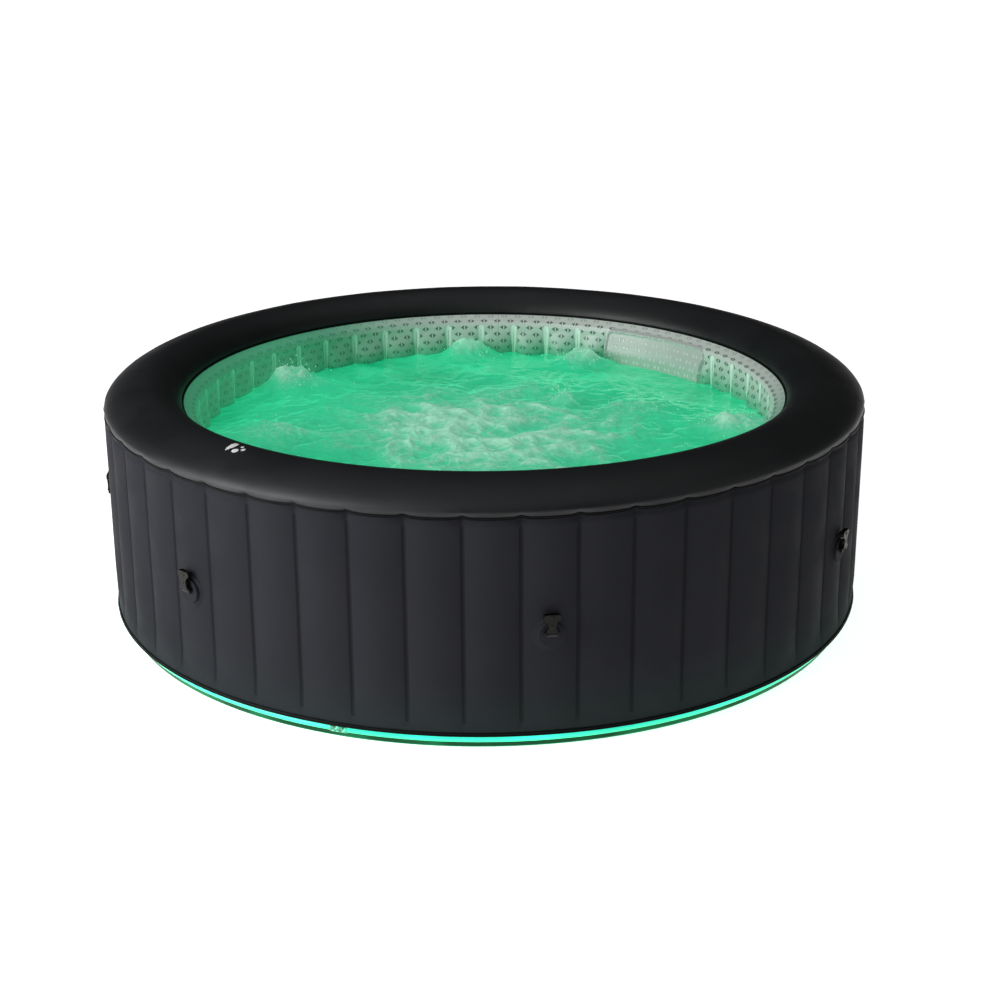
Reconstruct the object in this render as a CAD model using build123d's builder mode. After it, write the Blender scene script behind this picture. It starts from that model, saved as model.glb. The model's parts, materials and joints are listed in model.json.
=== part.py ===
"""Round inflatable hot tub, in millimetres.

+Z is up and the origin is the middle of the footprint on the ground.
The front is -Y, where the rim carries its printed emblem, and the hose ports are at the back, +Y.
Azimuths are degrees from the front, positive towards +X.
"""

from build123d import *
import os
from math import cos, radians, sin

os.makedirs("parts", exist_ok=True)

# Driving dimensions of the tub
HEIGHT = 650
SKIN = 2
CHANNELS = 48
PITCH = 360 / CHANNELS
OUTER_VALLEY_R = 1013
OUTER_CREST_R = 1028
INNER_VALLEY_R = 782
INNER_CREST_R = 764
CLEARANCE = 0.3

# The large rings are made up of this many equal lengths
LENGTHS = 24

# Top ring: two superellipse quarters that meet at the crown
RIM_CROWN_R = 905
RIM_OUTER_R = 1020
RIM_OUTER_Z = 592
RIM_INNER_R = 821
RIM_INNER_Z = 587.5
RIM_POWER = 1.65
RIM_STEPS = 8
RIM_FOOT = 9

# Heights of the welded seams
BASE_RISE = 39
SEAM_BAND_Z = 41
WALL_BOTTOM_Z = 46
WALL_TOP_Z = 577
PIPING_TOP_Z = 584
COLLAR_Z = 560
RIM_SEAM_Z = 583.5
FLOOR_TOP_Z = 12
WEB_BOTTOM_Z = 86
WEB_TOP_Z = 544
WEB_THICKNESS = 1.5

# Base and light
BASE_FLAT_R = 983
BASE_SHOULDER_R = 988
SEAM_FLANGE_R = 1026.5
LIGHT_R = 1003
LIGHT_Z = 22
LIGHT_TUBE_R = 8
SLEEVE_FOOT_R = 1001
JOINER_AZIMUTH = 20
JOINER_ANGLE = 2.4

# Water fittings
PORT_X = 66
PORT_Z = 200
PORT_R = 24
PORT_BORE_R = 16
PORT_INNER_Y = 734
PORT_INNER_FLANGE = 8
PORT_OUTER_FLANGE_Y = 1031
PORT_END_Y = 1076
PANEL_WIDTH = 346
PANEL_LOW_Z = 120
PANEL_HIGH_Z = 556
PANEL_BACK_R = INNER_CREST_R - CLEARANCE
PANEL_FRONT_R = 753
FILTER_R = 52
FILTER_FRONT_Y = 640
FILTER_SPIGOT_R = 19.6
FILTER_SPIGOT_LENGTH = 30

# Air fittings
VALVE_AZIMUTH = 168.75
VALVE_Z = 430
VALVE_R = 17
VALVE_STEM_R = 3
AIR_AZIMUTH = 198.75
AIR_Z = 150
AIR_R = 16
JET_RING_R = 740
JET_RING_HALF = 18
JET_RING_TOP_Z = 44
JET_RING_WALL = 2.5
JET_COUNT = 46
JET_START = AIR_AZIMUTH - 90 + 180 / JET_COUNT
JET_R = 4

# Drain
DRAIN_AZIMUTH = 221.25
DRAIN_Z = 66
DRAIN_R = 14
DRAIN_BORE_R = 10
DRAIN_INNER_R = 752

# Light socket
SOCKET_AZIMUTH = 191.25
SOCKET_Z = 75

# Lid clips, one at the middle of each of these channels
CLIP_AZIMUTHS = [-3.75, 48.75, 101.25, 153.75, 206.25, 258.75, 311.25]
CLIP_Z = 296
CLIP_BAR_UP = 3
CLIP_BAR_OUT = 15
CLIP_BAR_R = 2.2
CLIP_HALF_DEPTH = 6.5
CLIP_LEG_HALF_DEPTH = 4
CLIP_TOP_UP = 55
CLIP_WINDOW_UP = 9
PATCH_R = 43
PATCH_DISC_R = 31.5
PATCH_DISC_OUT = 7.5
LOCK_R = 3
LOCK_UP = 47

# One channel of the outer wall is an arc of this radius
CHANNEL_HALF = OUTER_VALLEY_R * sin(radians(PITCH / 2))
CHANNEL_RISE = OUTER_CREST_R - OUTER_VALLEY_R * cos(radians(PITCH / 2))
CHANNEL_R = (CHANNEL_HALF**2 + CHANNEL_RISE**2) / (2 * CHANNEL_RISE)


def at(azimuth, radius):
    a = radians(azimuth)
    return (radius * sin(a), -radius * cos(a))


def wall_plane(azimuth, radius, height):
    """A plane on the wall: local X runs along the wall, local Y is up and local Z points out."""
    x, y = at(azimuth, 1)
    return Plane(origin=(radius * x, radius * y, height), x_dir=(-y, x, 0), z_dir=(x, y, 0))


def side_plane(plane):
    """The plane's upright cross-section: local X points out of the wall and local Y is up."""
    return Plane(plane.origin, x_dir=plane.z_dir, z_dir=-plane.x_dir)


def port_plane(x, y):
    """Faces out of the back of the tub at a water port's height."""
    return Plane((x, y, PORT_Z), x_dir=(-1, 0, 0), z_dir=(0, 1, 0))


def save(part, name):
    part.label = name
    export_step(part, f"parts/{name}.step")


def save_ring(section, name):
    """Turns a section on the XZ plane, X as radius and Y as height, into a full ring."""
    with BuildPart() as ring:
        revolve(section, axis=Axis.Z)
    save(ring.part, name)


def save_turned_lengths(section, name):
    """Turns a section into a ring of equal lengths that meet edge to edge."""
    angle = 360 / LENGTHS
    with BuildPart() as length:
        revolve(section, axis=Axis.Z, revolution_arc=angle)
    save(Compound([Rot(Z=i * angle) * length.part.solid() for i in range(LENGTHS)]), name)


def save_cut_lengths(ring, name, count=LENGTHS, start=0):
    """Cuts a ring that has holes in it into equal lengths that meet edge to edge."""
    angle = 360 / count
    lengths = []
    for i in range(count):
        first = start + i * angle
        with BuildPart() as wedge:
            with BuildSketch():
                with BuildLine():
                    Polyline((0, 0), at(first, 2 * HEIGHT), at(first + angle, 2 * HEIGHT), close=True)
                make_face()
            extrude(amount=HEIGHT)
        lengths += (ring & wedge.part).solids()
    save(Compound(lengths), name)


def polygon_section(*points):
    with BuildSketch(Plane.XZ) as section:
        with BuildLine():
            Polyline(*points, close=True)
        make_face()
    return section.sketch


def scalloped(valley_r, crest_r, phase):
    """A flat disc whose outline is one arc per channel. The arcs meet at the web welds."""
    with BuildSketch() as disc:
        with BuildLine():
            for i in range(CHANNELS):
                start = phase + i * PITCH
                ThreePointArc(
                    at(start, valley_r),
                    at(start + PITCH / 2, crest_r),
                    at(start + PITCH, valley_r),
                )
        make_face()
    return disc.sketch


def fitting_ways(room):
    """The round ways that the fittings take through the air chamber, each with room round it."""
    with BuildPart() as ways:
        for x in (-PORT_X, PORT_X):
            with BuildSketch(port_plane(x, PORT_INNER_Y)):
                Circle(PORT_R + room)
            extrude(amount=PORT_END_Y - PORT_INNER_Y)
        for azimuth, height, radius in (
            (DRAIN_AZIMUTH, DRAIN_Z, DRAIN_R),
            (AIR_AZIMUTH, AIR_Z, AIR_R),
        ):
            with BuildSketch(wall_plane(azimuth, INNER_CREST_R - 10, height)):
                Circle(radius + room)
            extrude(amount=OUTER_CREST_R - INNER_CREST_R + 20)
        with BuildSketch(wall_plane(VALVE_AZIMUTH, OUTER_CREST_R - 60, VALVE_Z)):
            Circle(VALVE_R + room)
        extrude(amount=70)
    return ways.part


# Skins of the inflated body


def rim_curve(inset):
    """Points over the top ring's section, from its outer edge across the crown to its inner edge."""
    points = []
    for edge_r, edge_z in ((RIM_OUTER_R, RIM_OUTER_Z), (RIM_INNER_R, RIM_INNER_Z)):
        side = 1 if edge_r > RIM_CROWN_R else -1
        across = abs(edge_r - RIM_CROWN_R) - inset
        rise = HEIGHT - edge_z - inset
        quarter = []
        for i in range(RIM_STEPS + 1):
            t = radians(90 * i / RIM_STEPS)
            x = across * max(cos(t), 0) ** (2 / RIM_POWER)
            quarter.append((RIM_CROWN_R + side * x, edge_z + rise * sin(t) ** (2 / RIM_POWER)))
        points += quarter if side > 0 else quarter[-2::-1]
    return points


def make_top_ring():
    outer = rim_curve(0)
    inner = rim_curve(SKIN)
    foot_r = RIM_OUTER_R - RIM_FOOT
    with BuildSketch(Plane.XZ) as section:
        with BuildLine():
            Spline(*outer)
            Line(outer[-1], inner[-1])
            Spline(*reversed(inner))
            Polyline(inner[0], (foot_r - SKIN, PIPING_TOP_Z), (foot_r, PIPING_TOP_Z), outer[0])
        make_face()
    save_turned_lengths(section.sketch, "top_ring")


def make_wall(name, low_z, high_z, valley_r, crest_r, phase):
    """A ring of upright channels between two heights, with holes for the fittings."""
    with BuildPart() as wall:
        with BuildSketch(Plane.XY.offset(low_z)):
            add(scalloped(valley_r + SKIN, crest_r + SKIN, phase))
            add(scalloped(valley_r, crest_r, phase), mode=Mode.SUBTRACT)
        extrude(amount=high_z - low_z)
        add(fitting_ways(CLEARANCE), mode=Mode.SUBTRACT)
    save_cut_lengths(wall.part, name)


def make_internal_webs():
    """Flat sheets from each outer weld to the inner weld half a channel on. They hold the walls apart."""
    with BuildPart() as webs:
        for i in range(CHANNELS):
            start = Vector(*at(i * PITCH, OUTER_VALLEY_R - SKIN), WEB_BOTTOM_Z)
            end = Vector(*at((i + 0.5) * PITCH, INNER_VALLEY_R + SKIN), WEB_BOTTOM_Z)
            with BuildSketch(Plane((start + end) / 2, x_dir=end - start, z_dir=(0, 0, 1))):
                Rectangle((end - start).length - CLEARANCE, WEB_THICKNESS)
            extrude(amount=WEB_TOP_Z - WEB_BOTTOM_Z)
        add(fitting_ways(4), mode=Mode.SUBTRACT)
    save(webs.part, "internal_webs")


def make_seams():
    inner_foot_r = INNER_VALLEY_R + 5
    collar_top_r = RIM_INNER_R + 1
    slant = 1.3 * SKIN
    collar = polygon_section(
        (INNER_CREST_R - 1, COLLAR_Z),
        (inner_foot_r, COLLAR_Z),
        (collar_top_r, RIM_SEAM_Z),
        (collar_top_r - slant, RIM_SEAM_Z),
        (inner_foot_r - slant, COLLAR_Z + SKIN),
        (INNER_CREST_R - 1, COLLAR_Z + SKIN),
    )
    save_turned_lengths(collar, "liner_collar")

    with BuildSketch(Plane.XZ) as bead:
        with Locations((RIM_INNER_R, (RIM_SEAM_Z + RIM_INNER_Z) / 2)):
            RectangleRounded(9, RIM_INNER_Z - RIM_SEAM_Z, 0.9)
    save_ring(bead.sketch, "inner_rim_seam")

    with BuildPart() as piping:
        with BuildSketch(Plane.XY.offset(WALL_TOP_Z)):
            add(scalloped(OUTER_VALLEY_R + 3, OUTER_CREST_R + 4, 0))
            Circle(RIM_OUTER_R - 2 * RIM_FOOT, mode=Mode.SUBTRACT)
        extrude(amount=PIPING_TOP_Z - WALL_TOP_Z)
    save(piping.part, "top_seam_piping")

    band = polygon_section(
        (OUTER_VALLEY_R - 14, SEAM_BAND_Z),
        (SEAM_FLANGE_R + 2, SEAM_BAND_Z),
        (SEAM_FLANGE_R + 2, WALL_BOTTOM_Z),
        (OUTER_VALLEY_R - 14, WALL_BOTTOM_Z),
    )
    save_ring(band, "bottom_seam_band")


def make_base():
    with BuildPart() as sheet:
        with BuildSketch():
            Circle(BASE_FLAT_R - SKIN)
        extrude(amount=SKIN)
    save(sheet.part, "base_sheet")

    skirt = polygon_section(
        (BASE_FLAT_R - SKIN, 0),
        (BASE_FLAT_R, 0),
        (BASE_SHOULDER_R, BASE_RISE),
        (SEAM_FLANGE_R, BASE_RISE),
        (SEAM_FLANGE_R, SEAM_BAND_Z),
        (BASE_SHOULDER_R - SKIN, SEAM_BAND_Z),
    )
    save_turned_lengths(skirt, "base_skirt")

    with BuildPart() as pad:
        with BuildSketch(Plane.XY.offset(SKIN)):
            Circle(INNER_CREST_R - SKIN)
        extrude(amount=FLOOR_TOP_Z - SKIN)
        fillet(pad.edges().group_by(Axis.Z)[-1], 3)
    save(pad.part, "floor_pad")


# Bubble system


def arch_section(half, low_z, high_z):
    """A rectangle with a round top, standing on the floor at the jet ring's radius."""
    with BuildSketch(Plane.XZ) as arch:
        with BuildLine():
            Polyline(
                (JET_RING_R - half, high_z - half),
                (JET_RING_R - half, low_z),
                (JET_RING_R + half, low_z),
                (JET_RING_R + half, high_z - half),
            )
            ThreePointArc(
                (JET_RING_R - half, high_z - half),
                (JET_RING_R, high_z),
                (JET_RING_R + half, high_z - half),
            )
        make_face()
    return arch.sketch


def make_air_jets():
    inner_half = JET_RING_HALF - JET_RING_WALL
    with BuildPart() as ring:
        revolve(arch_section(JET_RING_HALF, FLOOR_TOP_Z, JET_RING_TOP_Z), axis=Axis.Z)
        bore = arch_section(inner_half, FLOOR_TOP_Z + JET_RING_WALL, JET_RING_TOP_Z - JET_RING_WALL)
        revolve(bore, axis=Axis.Z, mode=Mode.SUBTRACT)
        with BuildSketch(Plane.XY.offset(JET_RING_TOP_Z - 2 * JET_RING_WALL)):
            with PolarLocations(JET_RING_R, JET_COUNT, start_angle=JET_START):
                Circle(JET_R + 0.05)
        extrude(amount=3 * JET_RING_WALL, mode=Mode.SUBTRACT)
    jet_pitch = 360 / JET_COUNT
    save_cut_lengths(ring.part, "air_jet_ring", JET_COUNT // 2, AIR_AZIMUTH + jet_pitch)

    with BuildPart() as nozzles:
        for low_z, height, radius in (
            (JET_RING_TOP_Z - 3, 3.5, JET_R),
            (JET_RING_TOP_Z + 0.5, 1.5, JET_R + 2),
        ):
            with BuildSketch(Plane.XY.offset(low_z)):
                with PolarLocations(JET_RING_R, JET_COUNT, start_angle=JET_START):
                    Circle(radius)
                    Circle(1.5, mode=Mode.SUBTRACT)
            extrude(amount=height)
    save(nozzles.part, "air_jet_nozzles")


def make_air_port():
    outer = wall_plane(AIR_AZIMUTH, OUTER_CREST_R, AIR_Z)
    duct_r = 15
    sleeve_length = OUTER_CREST_R - JET_RING_R - duct_r - CLEARANCE
    with BuildPart() as sleeve:
        for start, length, radius in ((-sleeve_length, sleeve_length + 34, AIR_R), (0.5, 4, 27)):
            with BuildSketch(outer.offset(start)):
                Circle(radius)
            extrude(amount=length)
        with BuildSketch(outer.offset(-sleeve_length)):
            Circle(AIR_R - 4)
        extrude(amount=sleeve_length + 34, mode=Mode.SUBTRACT)
    save(sleeve.part, "air_port_sleeve")

    x, y = at(AIR_AZIMUTH, JET_RING_R)
    foot = Plane((x, y, JET_RING_TOP_Z))
    with BuildPart() as duct:
        with BuildSketch(foot):
            Circle(duct_r)
        extrude(amount=AIR_Z + 24 - JET_RING_TOP_Z)
        fillet(duct.edges().group_by(Axis.Z)[-1], 5)
        with BuildSketch(foot):
            Circle(duct_r - 3)
        extrude(amount=AIR_Z + 20 - JET_RING_TOP_Z, mode=Mode.SUBTRACT)
        with BuildSketch(wall_plane(AIR_AZIMUTH, JET_RING_R, AIR_Z)):
            Circle(AIR_R - 6)
        extrude(amount=2 * duct_r, mode=Mode.SUBTRACT)
    save(duct.part, "air_duct")


# Light strip round the base


def make_light():
    with BuildSketch(Plane.XZ) as tube:
        with Locations((LIGHT_R, LIGHT_Z)):
            Circle(LIGHT_TUBE_R)
            Circle(LIGHT_TUBE_R - 1.5, mode=Mode.SUBTRACT)
    save_ring(tube.sketch, "light_tube")

    with BuildSketch(Plane.XZ) as core:
        with Locations((LIGHT_R, LIGHT_Z)):
            Rectangle(2, 10)
    save_ring(core.sketch, "light_strip_core")

    foot_top_z = LIGHT_Z - LIGHT_TUBE_R - 0.1
    back_r = LIGHT_R - LIGHT_TUBE_R - 1
    sleeve = polygon_section(
        (BASE_FLAT_R + CLEARANCE, 0),
        (SLEEVE_FOOT_R, 0),
        (LIGHT_R, foot_top_z),
        (back_r, foot_top_z),
        (back_r, LIGHT_Z + 9),
        (BASE_SHOULDER_R - 0.7, LIGHT_Z + 9),
    )
    save_ring(sleeve, "light_sleeve")

    radial = Vector(*at(JOINER_AZIMUTH - JOINER_ANGLE / 2, 1), 0)
    with BuildPart() as joiner:
        with BuildSketch(Plane((0, 0, 0), x_dir=radial, z_dir=(radial.Y, -radial.X, 0))):
            with Locations((LIGHT_R, LIGHT_Z)):
                Circle(LIGHT_TUBE_R + 2.5)
                Circle(LIGHT_TUBE_R + 0.1, mode=Mode.SUBTRACT)
            with Locations((LIGHT_R - LIGHT_TUBE_R + CLEARANCE, LIGHT_Z)):
                Rectangle(2 * LIGHT_TUBE_R, 4 * LIGHT_TUBE_R, mode=Mode.SUBTRACT)
        revolve(axis=Axis.Z, revolution_arc=JOINER_ANGLE)
    save(joiner.part, "light_joiner")

    wall = wall_plane(SOCKET_AZIMUTH, OUTER_CREST_R, SOCKET_Z)
    with BuildPart() as socket:
        with BuildSketch(wall.offset(CLEARANCE)):
            RectangleRounded(34, 26, 8)
        extrude(amount=3)
        with BuildSketch(wall.offset(CLEARANCE + 3)):
            Circle(10)
        extrude(amount=12)
        with BuildSketch(wall.offset(CLEARANCE + 3)):
            Circle(6)
        extrude(amount=12, mode=Mode.SUBTRACT)
    save(socket.part, "light_socket")


# Water fittings at the back


def make_port_panel():
    """The stiff welded pad inside, with rounded corners, that the water fittings clamp through."""
    height = PANEL_HIGH_Z - PANEL_LOW_Z
    with BuildPart() as panel:
        with BuildSketch(Plane.XY.offset(PANEL_LOW_Z)):
            Circle(PANEL_BACK_R)
            Circle(PANEL_FRONT_R, mode=Mode.SUBTRACT)
        extrude(amount=height)
        front = Plane((0, 600, PANEL_LOW_Z + height / 2), x_dir=(-1, 0, 0), z_dir=(0, 1, 0))
        with BuildSketch(front):
            RectangleRounded(PANEL_WIDTH, height, 28)
        extrude(amount=200, mode=Mode.INTERSECT)
        add(fitting_ways(CLEARANCE), mode=Mode.SUBTRACT)
    save(panel.part, "port_panel")


def make_water_port(x, name, spigot_length):
    """A sleeve through the chamber with a flange on each wall, and a spigot for what fits on inside."""
    with BuildPart() as sleeve:
        inner_y = PORT_INNER_Y - spigot_length
        for y, length, radius in (
            (inner_y, spigot_length, FILTER_SPIGOT_R),
            (PORT_INNER_Y, PORT_END_Y - PORT_INNER_Y, PORT_R),
            (PORT_INNER_Y, PORT_INNER_FLANGE, PORT_R + 10),
            (PORT_OUTER_FLANGE_Y, 6, PORT_R + 14),
        ):
            with BuildSketch(port_plane(x, y)):
                Circle(radius)
            extrude(amount=length)
        with BuildSketch(port_plane(x, inner_y)):
            Circle(PORT_BORE_R)
        extrude(amount=PORT_END_Y - inner_y, mode=Mode.SUBTRACT)
        chamfer(sleeve.edges().group_by(Axis.Y)[-1].sort_by(SortBy.RADIUS)[-1], 1.2)
    save(sleeve.part, name)


def make_port_gaskets():
    with BuildPart() as gaskets:
        for x in (-PORT_X, PORT_X):
            for y, length, radius in (
                (PORT_INNER_Y + PORT_INNER_FLANGE, 4, PORT_R + 9),
                (PORT_OUTER_FLANGE_Y - 4, 4, PORT_R + 12),
            ):
                with BuildSketch(port_plane(x, y)):
                    Circle(radius)
                    Circle(PORT_R + 0.05, mode=Mode.SUBTRACT)
                extrude(amount=length)
    save(gaskets.part, "port_gaskets")


def make_outlet_grille():
    depth = 10
    front_y = PORT_INNER_Y - depth
    with BuildPart() as grille:
        with BuildSketch(port_plane(PORT_X, front_y)):
            Circle(PORT_R + 10)
        extrude(amount=depth)
        with BuildSketch(port_plane(PORT_X, front_y + 3)):
            Circle(PORT_R + 1)
        extrude(amount=depth - 3, mode=Mode.SUBTRACT)
        with BuildSketch(port_plane(PORT_X, front_y)):
            with GridLocations(0, 8, 1, 5):
                SlotOverall(34, 4)
        extrude(amount=3, mode=Mode.SUBTRACT)
    save(grille.part, "outlet_grille")


def make_filter():
    length = PORT_INNER_Y - CLEARANCE - FILTER_FRONT_Y
    bore_r = FILTER_SPIGOT_R + 0.4
    with BuildPart() as cartridge:
        with BuildSketch(port_plane(-PORT_X, FILTER_FRONT_Y)):
            Circle(FILTER_R - 2)
            with PolarLocations(FILTER_R - 2, 36):
                RectangleRounded(8, 3, 1.2, mode=Mode.SUBTRACT)
            Circle(bore_r, mode=Mode.SUBTRACT)
        extrude(amount=length)
        for y in (FILTER_FRONT_Y, FILTER_FRONT_Y + length - 8):
            with BuildSketch(port_plane(-PORT_X, y)):
                Circle(FILTER_R)
                Circle(bore_r, mode=Mode.SUBTRACT)
            extrude(amount=8)
    save(cartridge.part, "filter_cartridge")

    face_y = FILTER_FRONT_Y - CLEARANCE
    with BuildPart() as cover:
        with BuildSketch(port_plane(-PORT_X, face_y - 8)):
            Circle(FILTER_R + 3)
        extrude(amount=14)
        with BuildSketch(port_plane(-PORT_X, face_y)):
            Circle(FILTER_R + CLEARANCE)
        extrude(amount=6, mode=Mode.SUBTRACT)
        with BuildSketch(port_plane(-PORT_X, face_y - 20)):
            SlotOverall(70, 10)
        extrude(amount=12)
    save(cover.part, "filter_cover")


# Air valve for the chamber


def make_air_valve():
    plane = wall_plane(VALVE_AZIMUTH, OUTER_CREST_R, VALVE_Z)
    floor = -26
    seat = floor + 10
    mouth = 14
    with BuildPart() as body:
        for start, length, radius in ((floor, mouth - floor, VALVE_R), (0.5, 3, VALVE_R + 10)):
            with BuildSketch(plane.offset(start)):
                Circle(radius)
            extrude(amount=length)
        with BuildSketch(plane.offset(seat)):
            Circle(VALVE_R - 6)
        extrude(amount=mouth - seat, mode=Mode.SUBTRACT)
        with BuildSketch(plane.offset(floor)):
            Circle(VALVE_STEM_R + 0.05)
            with PolarLocations(7.5, 6):
                Circle(2.2)
        extrude(amount=seat - floor, mode=Mode.SUBTRACT)
    save(body.part, "air_valve_body")

    with BuildPart() as stem:
        for start, length, radius in (
            (floor - 3.2, 3, VALVE_R - 4),
            (floor - 0.2, 8.5 - floor, VALVE_STEM_R),
            (4.5, 4, 6.5),
        ):
            with BuildSketch(plane.offset(start)):
                Circle(radius)
            extrude(amount=length)
    save(stem.part, "air_valve_stem")

    wire_r = 0.6
    coil_start = plane.offset(seat + wire_r + 0.1).origin
    with BuildPart() as spring:
        with BuildLine() as coil:
            Helix(pitch=3.2, height=12.8, radius=5, center=coil_start, direction=plane.z_dir)
        with BuildSketch(Plane(coil.line @ 0, z_dir=coil.line % 0)):
            Circle(wire_r)
        sweep()
    save(spring.part, "air_valve_spring")

    with BuildPart() as cap:
        with BuildSketch(plane.offset(4)):
            Circle(VALVE_R + 3.5)
            with PolarLocations(VALVE_R + 4.2, 24):
                Circle(1.3, mode=Mode.SUBTRACT)
        extrude(amount=17)
        with BuildSketch(plane.offset(4)):
            Circle(VALVE_R + CLEARANCE)
        extrude(amount=14, mode=Mode.SUBTRACT)
    save(cap.part, "air_valve_cap")


# Drain


def make_drain():
    plane = wall_plane(DRAIN_AZIMUTH, OUTER_CREST_R, DRAIN_Z)
    inner = DRAIN_INNER_R - OUTER_CREST_R
    mouth = 26
    with BuildPart() as sleeve:
        for start, length, radius in (
            (inner, mouth - inner, DRAIN_R),
            (0.5, 4, DRAIN_R + 6),
            (inner, 4, DRAIN_R + 4),
        ):
            with BuildSketch(plane.offset(start)):
                Circle(radius)
            extrude(amount=length)
        with BuildSketch(plane.offset(inner)):
            Circle(DRAIN_BORE_R)
        extrude(amount=mouth - inner, mode=Mode.SUBTRACT)
    save(sleeve.part, "drain_sleeve")

    with BuildPart() as cap:
        with BuildSketch(plane.offset(5)):
            Circle(DRAIN_R + 4)
            with PolarLocations(DRAIN_R + 4.6, 18):
                Circle(1.2, mode=Mode.SUBTRACT)
        extrude(amount=mouth - 1)
        with BuildSketch(plane.offset(5)):
            Circle(DRAIN_R + CLEARANCE)
        extrude(amount=mouth - 4.5, mode=Mode.SUBTRACT)
    save(cap.part, "drain_outer_cap")

    with BuildPart() as plug:
        with BuildSketch(plane.offset(inner - 7)):
            Circle(DRAIN_R + 2)
        extrude(amount=7 - CLEARANCE)
        with BuildSketch(plane.offset(inner - 1)):
            Circle(DRAIN_BORE_R - 0.05)
        extrude(amount=14)
    save(plug.part, "drain_inner_plug")


# Lid clips


def make_clip_patch(azimuth, name):
    """A round patch that follows its channel, with a raised disc that the clip's tab comes out of."""
    plane = wall_plane(azimuth, OUTER_CREST_R, CLIP_Z)
    x, y = at(azimuth, OUTER_CREST_R - CHANNEL_R)
    with BuildPart() as patch:
        with BuildSketch(Plane((x, y, CLIP_Z - PATCH_R))):
            Circle(CHANNEL_R + 2)
        extrude(amount=2 * PATCH_R)
        with BuildSketch(plane.offset(-15)):
            Circle(PATCH_R)
        extrude(amount=30, mode=Mode.INTERSECT)
        with BuildSketch(plane.offset(-15)):
            Circle(PATCH_DISC_R)
        extrude(amount=15 + PATCH_DISC_OUT)
        fillet(patch.faces().filter_by(GeomType.PLANE).sort_by(SortBy.DISTANCE)[-1].edges(), 2.5)
        with BuildSketch(Plane((x, y, CLIP_Z - PATCH_R))):
            Circle(CHANNEL_R + 0.05)
        extrude(amount=2 * PATCH_R, mode=Mode.SUBTRACT)
    save(patch.part, name)


def make_clip_tabs():
    """The short webbing loops that hold each clip's bar."""
    length = CLIP_BAR_OUT - PATCH_DISC_OUT
    with BuildPart() as tabs:
        for azimuth in CLIP_AZIMUTHS:
            side = side_plane(wall_plane(azimuth, OUTER_CREST_R, CLIP_Z))
            with BuildSketch(side.offset(-11.5)):
                with Locations((CLIP_BAR_OUT, CLIP_BAR_UP)):
                    Circle(4.2)
                with Locations((PATCH_DISC_OUT + length / 2, CLIP_BAR_UP)):
                    Rectangle(length, 3.4)
                with Locations((CLIP_BAR_OUT, CLIP_BAR_UP)):
                    Circle(CLIP_BAR_R + CLEARANCE, mode=Mode.SUBTRACT)
            extrude(amount=23)
    save(tabs.part, "clip_tabs")


def clip_outline():
    """The hourglass outline of a clip, from its mouth at the top to the two legs that hold its bar."""
    with BuildSketch() as outline:
        with BuildLine():
            Polyline((0, CLIP_TOP_UP), (16, CLIP_TOP_UP), (20.5, CLIP_TOP_UP - 4), (20.5, 43))
            ThreePointArc((20.5, 43), (9, 26), (18, CLIP_WINDOW_UP))
            Polyline(
                (18, CLIP_WINDOW_UP),
                (18, 0),
                (13, 0),
                (13, CLIP_WINDOW_UP),
                (0, CLIP_WINDOW_UP),
                (0, CLIP_TOP_UP),
            )
        make_face()
        mirror(about=Plane.YZ)
    return outline.sketch


def make_clip(azimuth, name):
    """A lid clip's housing, standing up from its bar, with an open mouth for the lid strap's tongue."""
    plane = wall_plane(azimuth, OUTER_CREST_R, CLIP_Z)
    middle = plane.offset(CLIP_BAR_OUT)
    front = plane.offset(CLIP_BAR_OUT + CLIP_HALF_DEPTH)
    leg_cut = CLIP_HALF_DEPTH - CLIP_LEG_HALF_DEPTH
    with BuildPart() as clip:
        with BuildSketch(middle.offset(-CLIP_HALF_DEPTH)):
            add(clip_outline())
        extrude(amount=2 * CLIP_HALF_DEPTH)
        for start in (-CLIP_HALF_DEPTH, CLIP_LEG_HALF_DEPTH):
            with BuildSketch(middle.offset(start)):
                Rectangle(44, 2 * CLIP_WINDOW_UP)
            extrude(amount=leg_cut, mode=Mode.SUBTRACT)
        with BuildSketch(middle.offset(-CLIP_LEG_HALF_DEPTH)):
            with Locations((0, CLIP_TOP_UP - 13)):
                Rectangle(32, 27)
        extrude(amount=2 * CLIP_LEG_HALF_DEPTH, mode=Mode.SUBTRACT)
        with BuildSketch(side_plane(plane).offset(-14)):
            with Locations((CLIP_BAR_OUT, CLIP_BAR_UP)):
                Circle(CLIP_BAR_R)
        extrude(amount=28)
        with BuildSketch(front):
            with Locations((0, LOCK_UP)):
                Circle(LOCK_R + 1.6)
        extrude(amount=1)
        with BuildSketch(front.offset(-3)):
            with Locations((0, LOCK_UP)):
                Circle(LOCK_R + 0.05)
        extrude(amount=4, mode=Mode.SUBTRACT)
    save(clip.part, name)


def make_clip_lock(azimuth, name):
    front = wall_plane(azimuth, OUTER_CREST_R + CLIP_BAR_OUT + CLIP_HALF_DEPTH, CLIP_Z + LOCK_UP)
    with BuildPart() as lock:
        with BuildSketch(front.offset(-2.4)):
            Circle(LOCK_R)
        extrude(amount=3)
        with BuildSketch(front.offset(-1)):
            SlotOverall(4, 1.2)
        extrude(amount=2, mode=Mode.SUBTRACT)
    save(lock.part, name)


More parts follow.
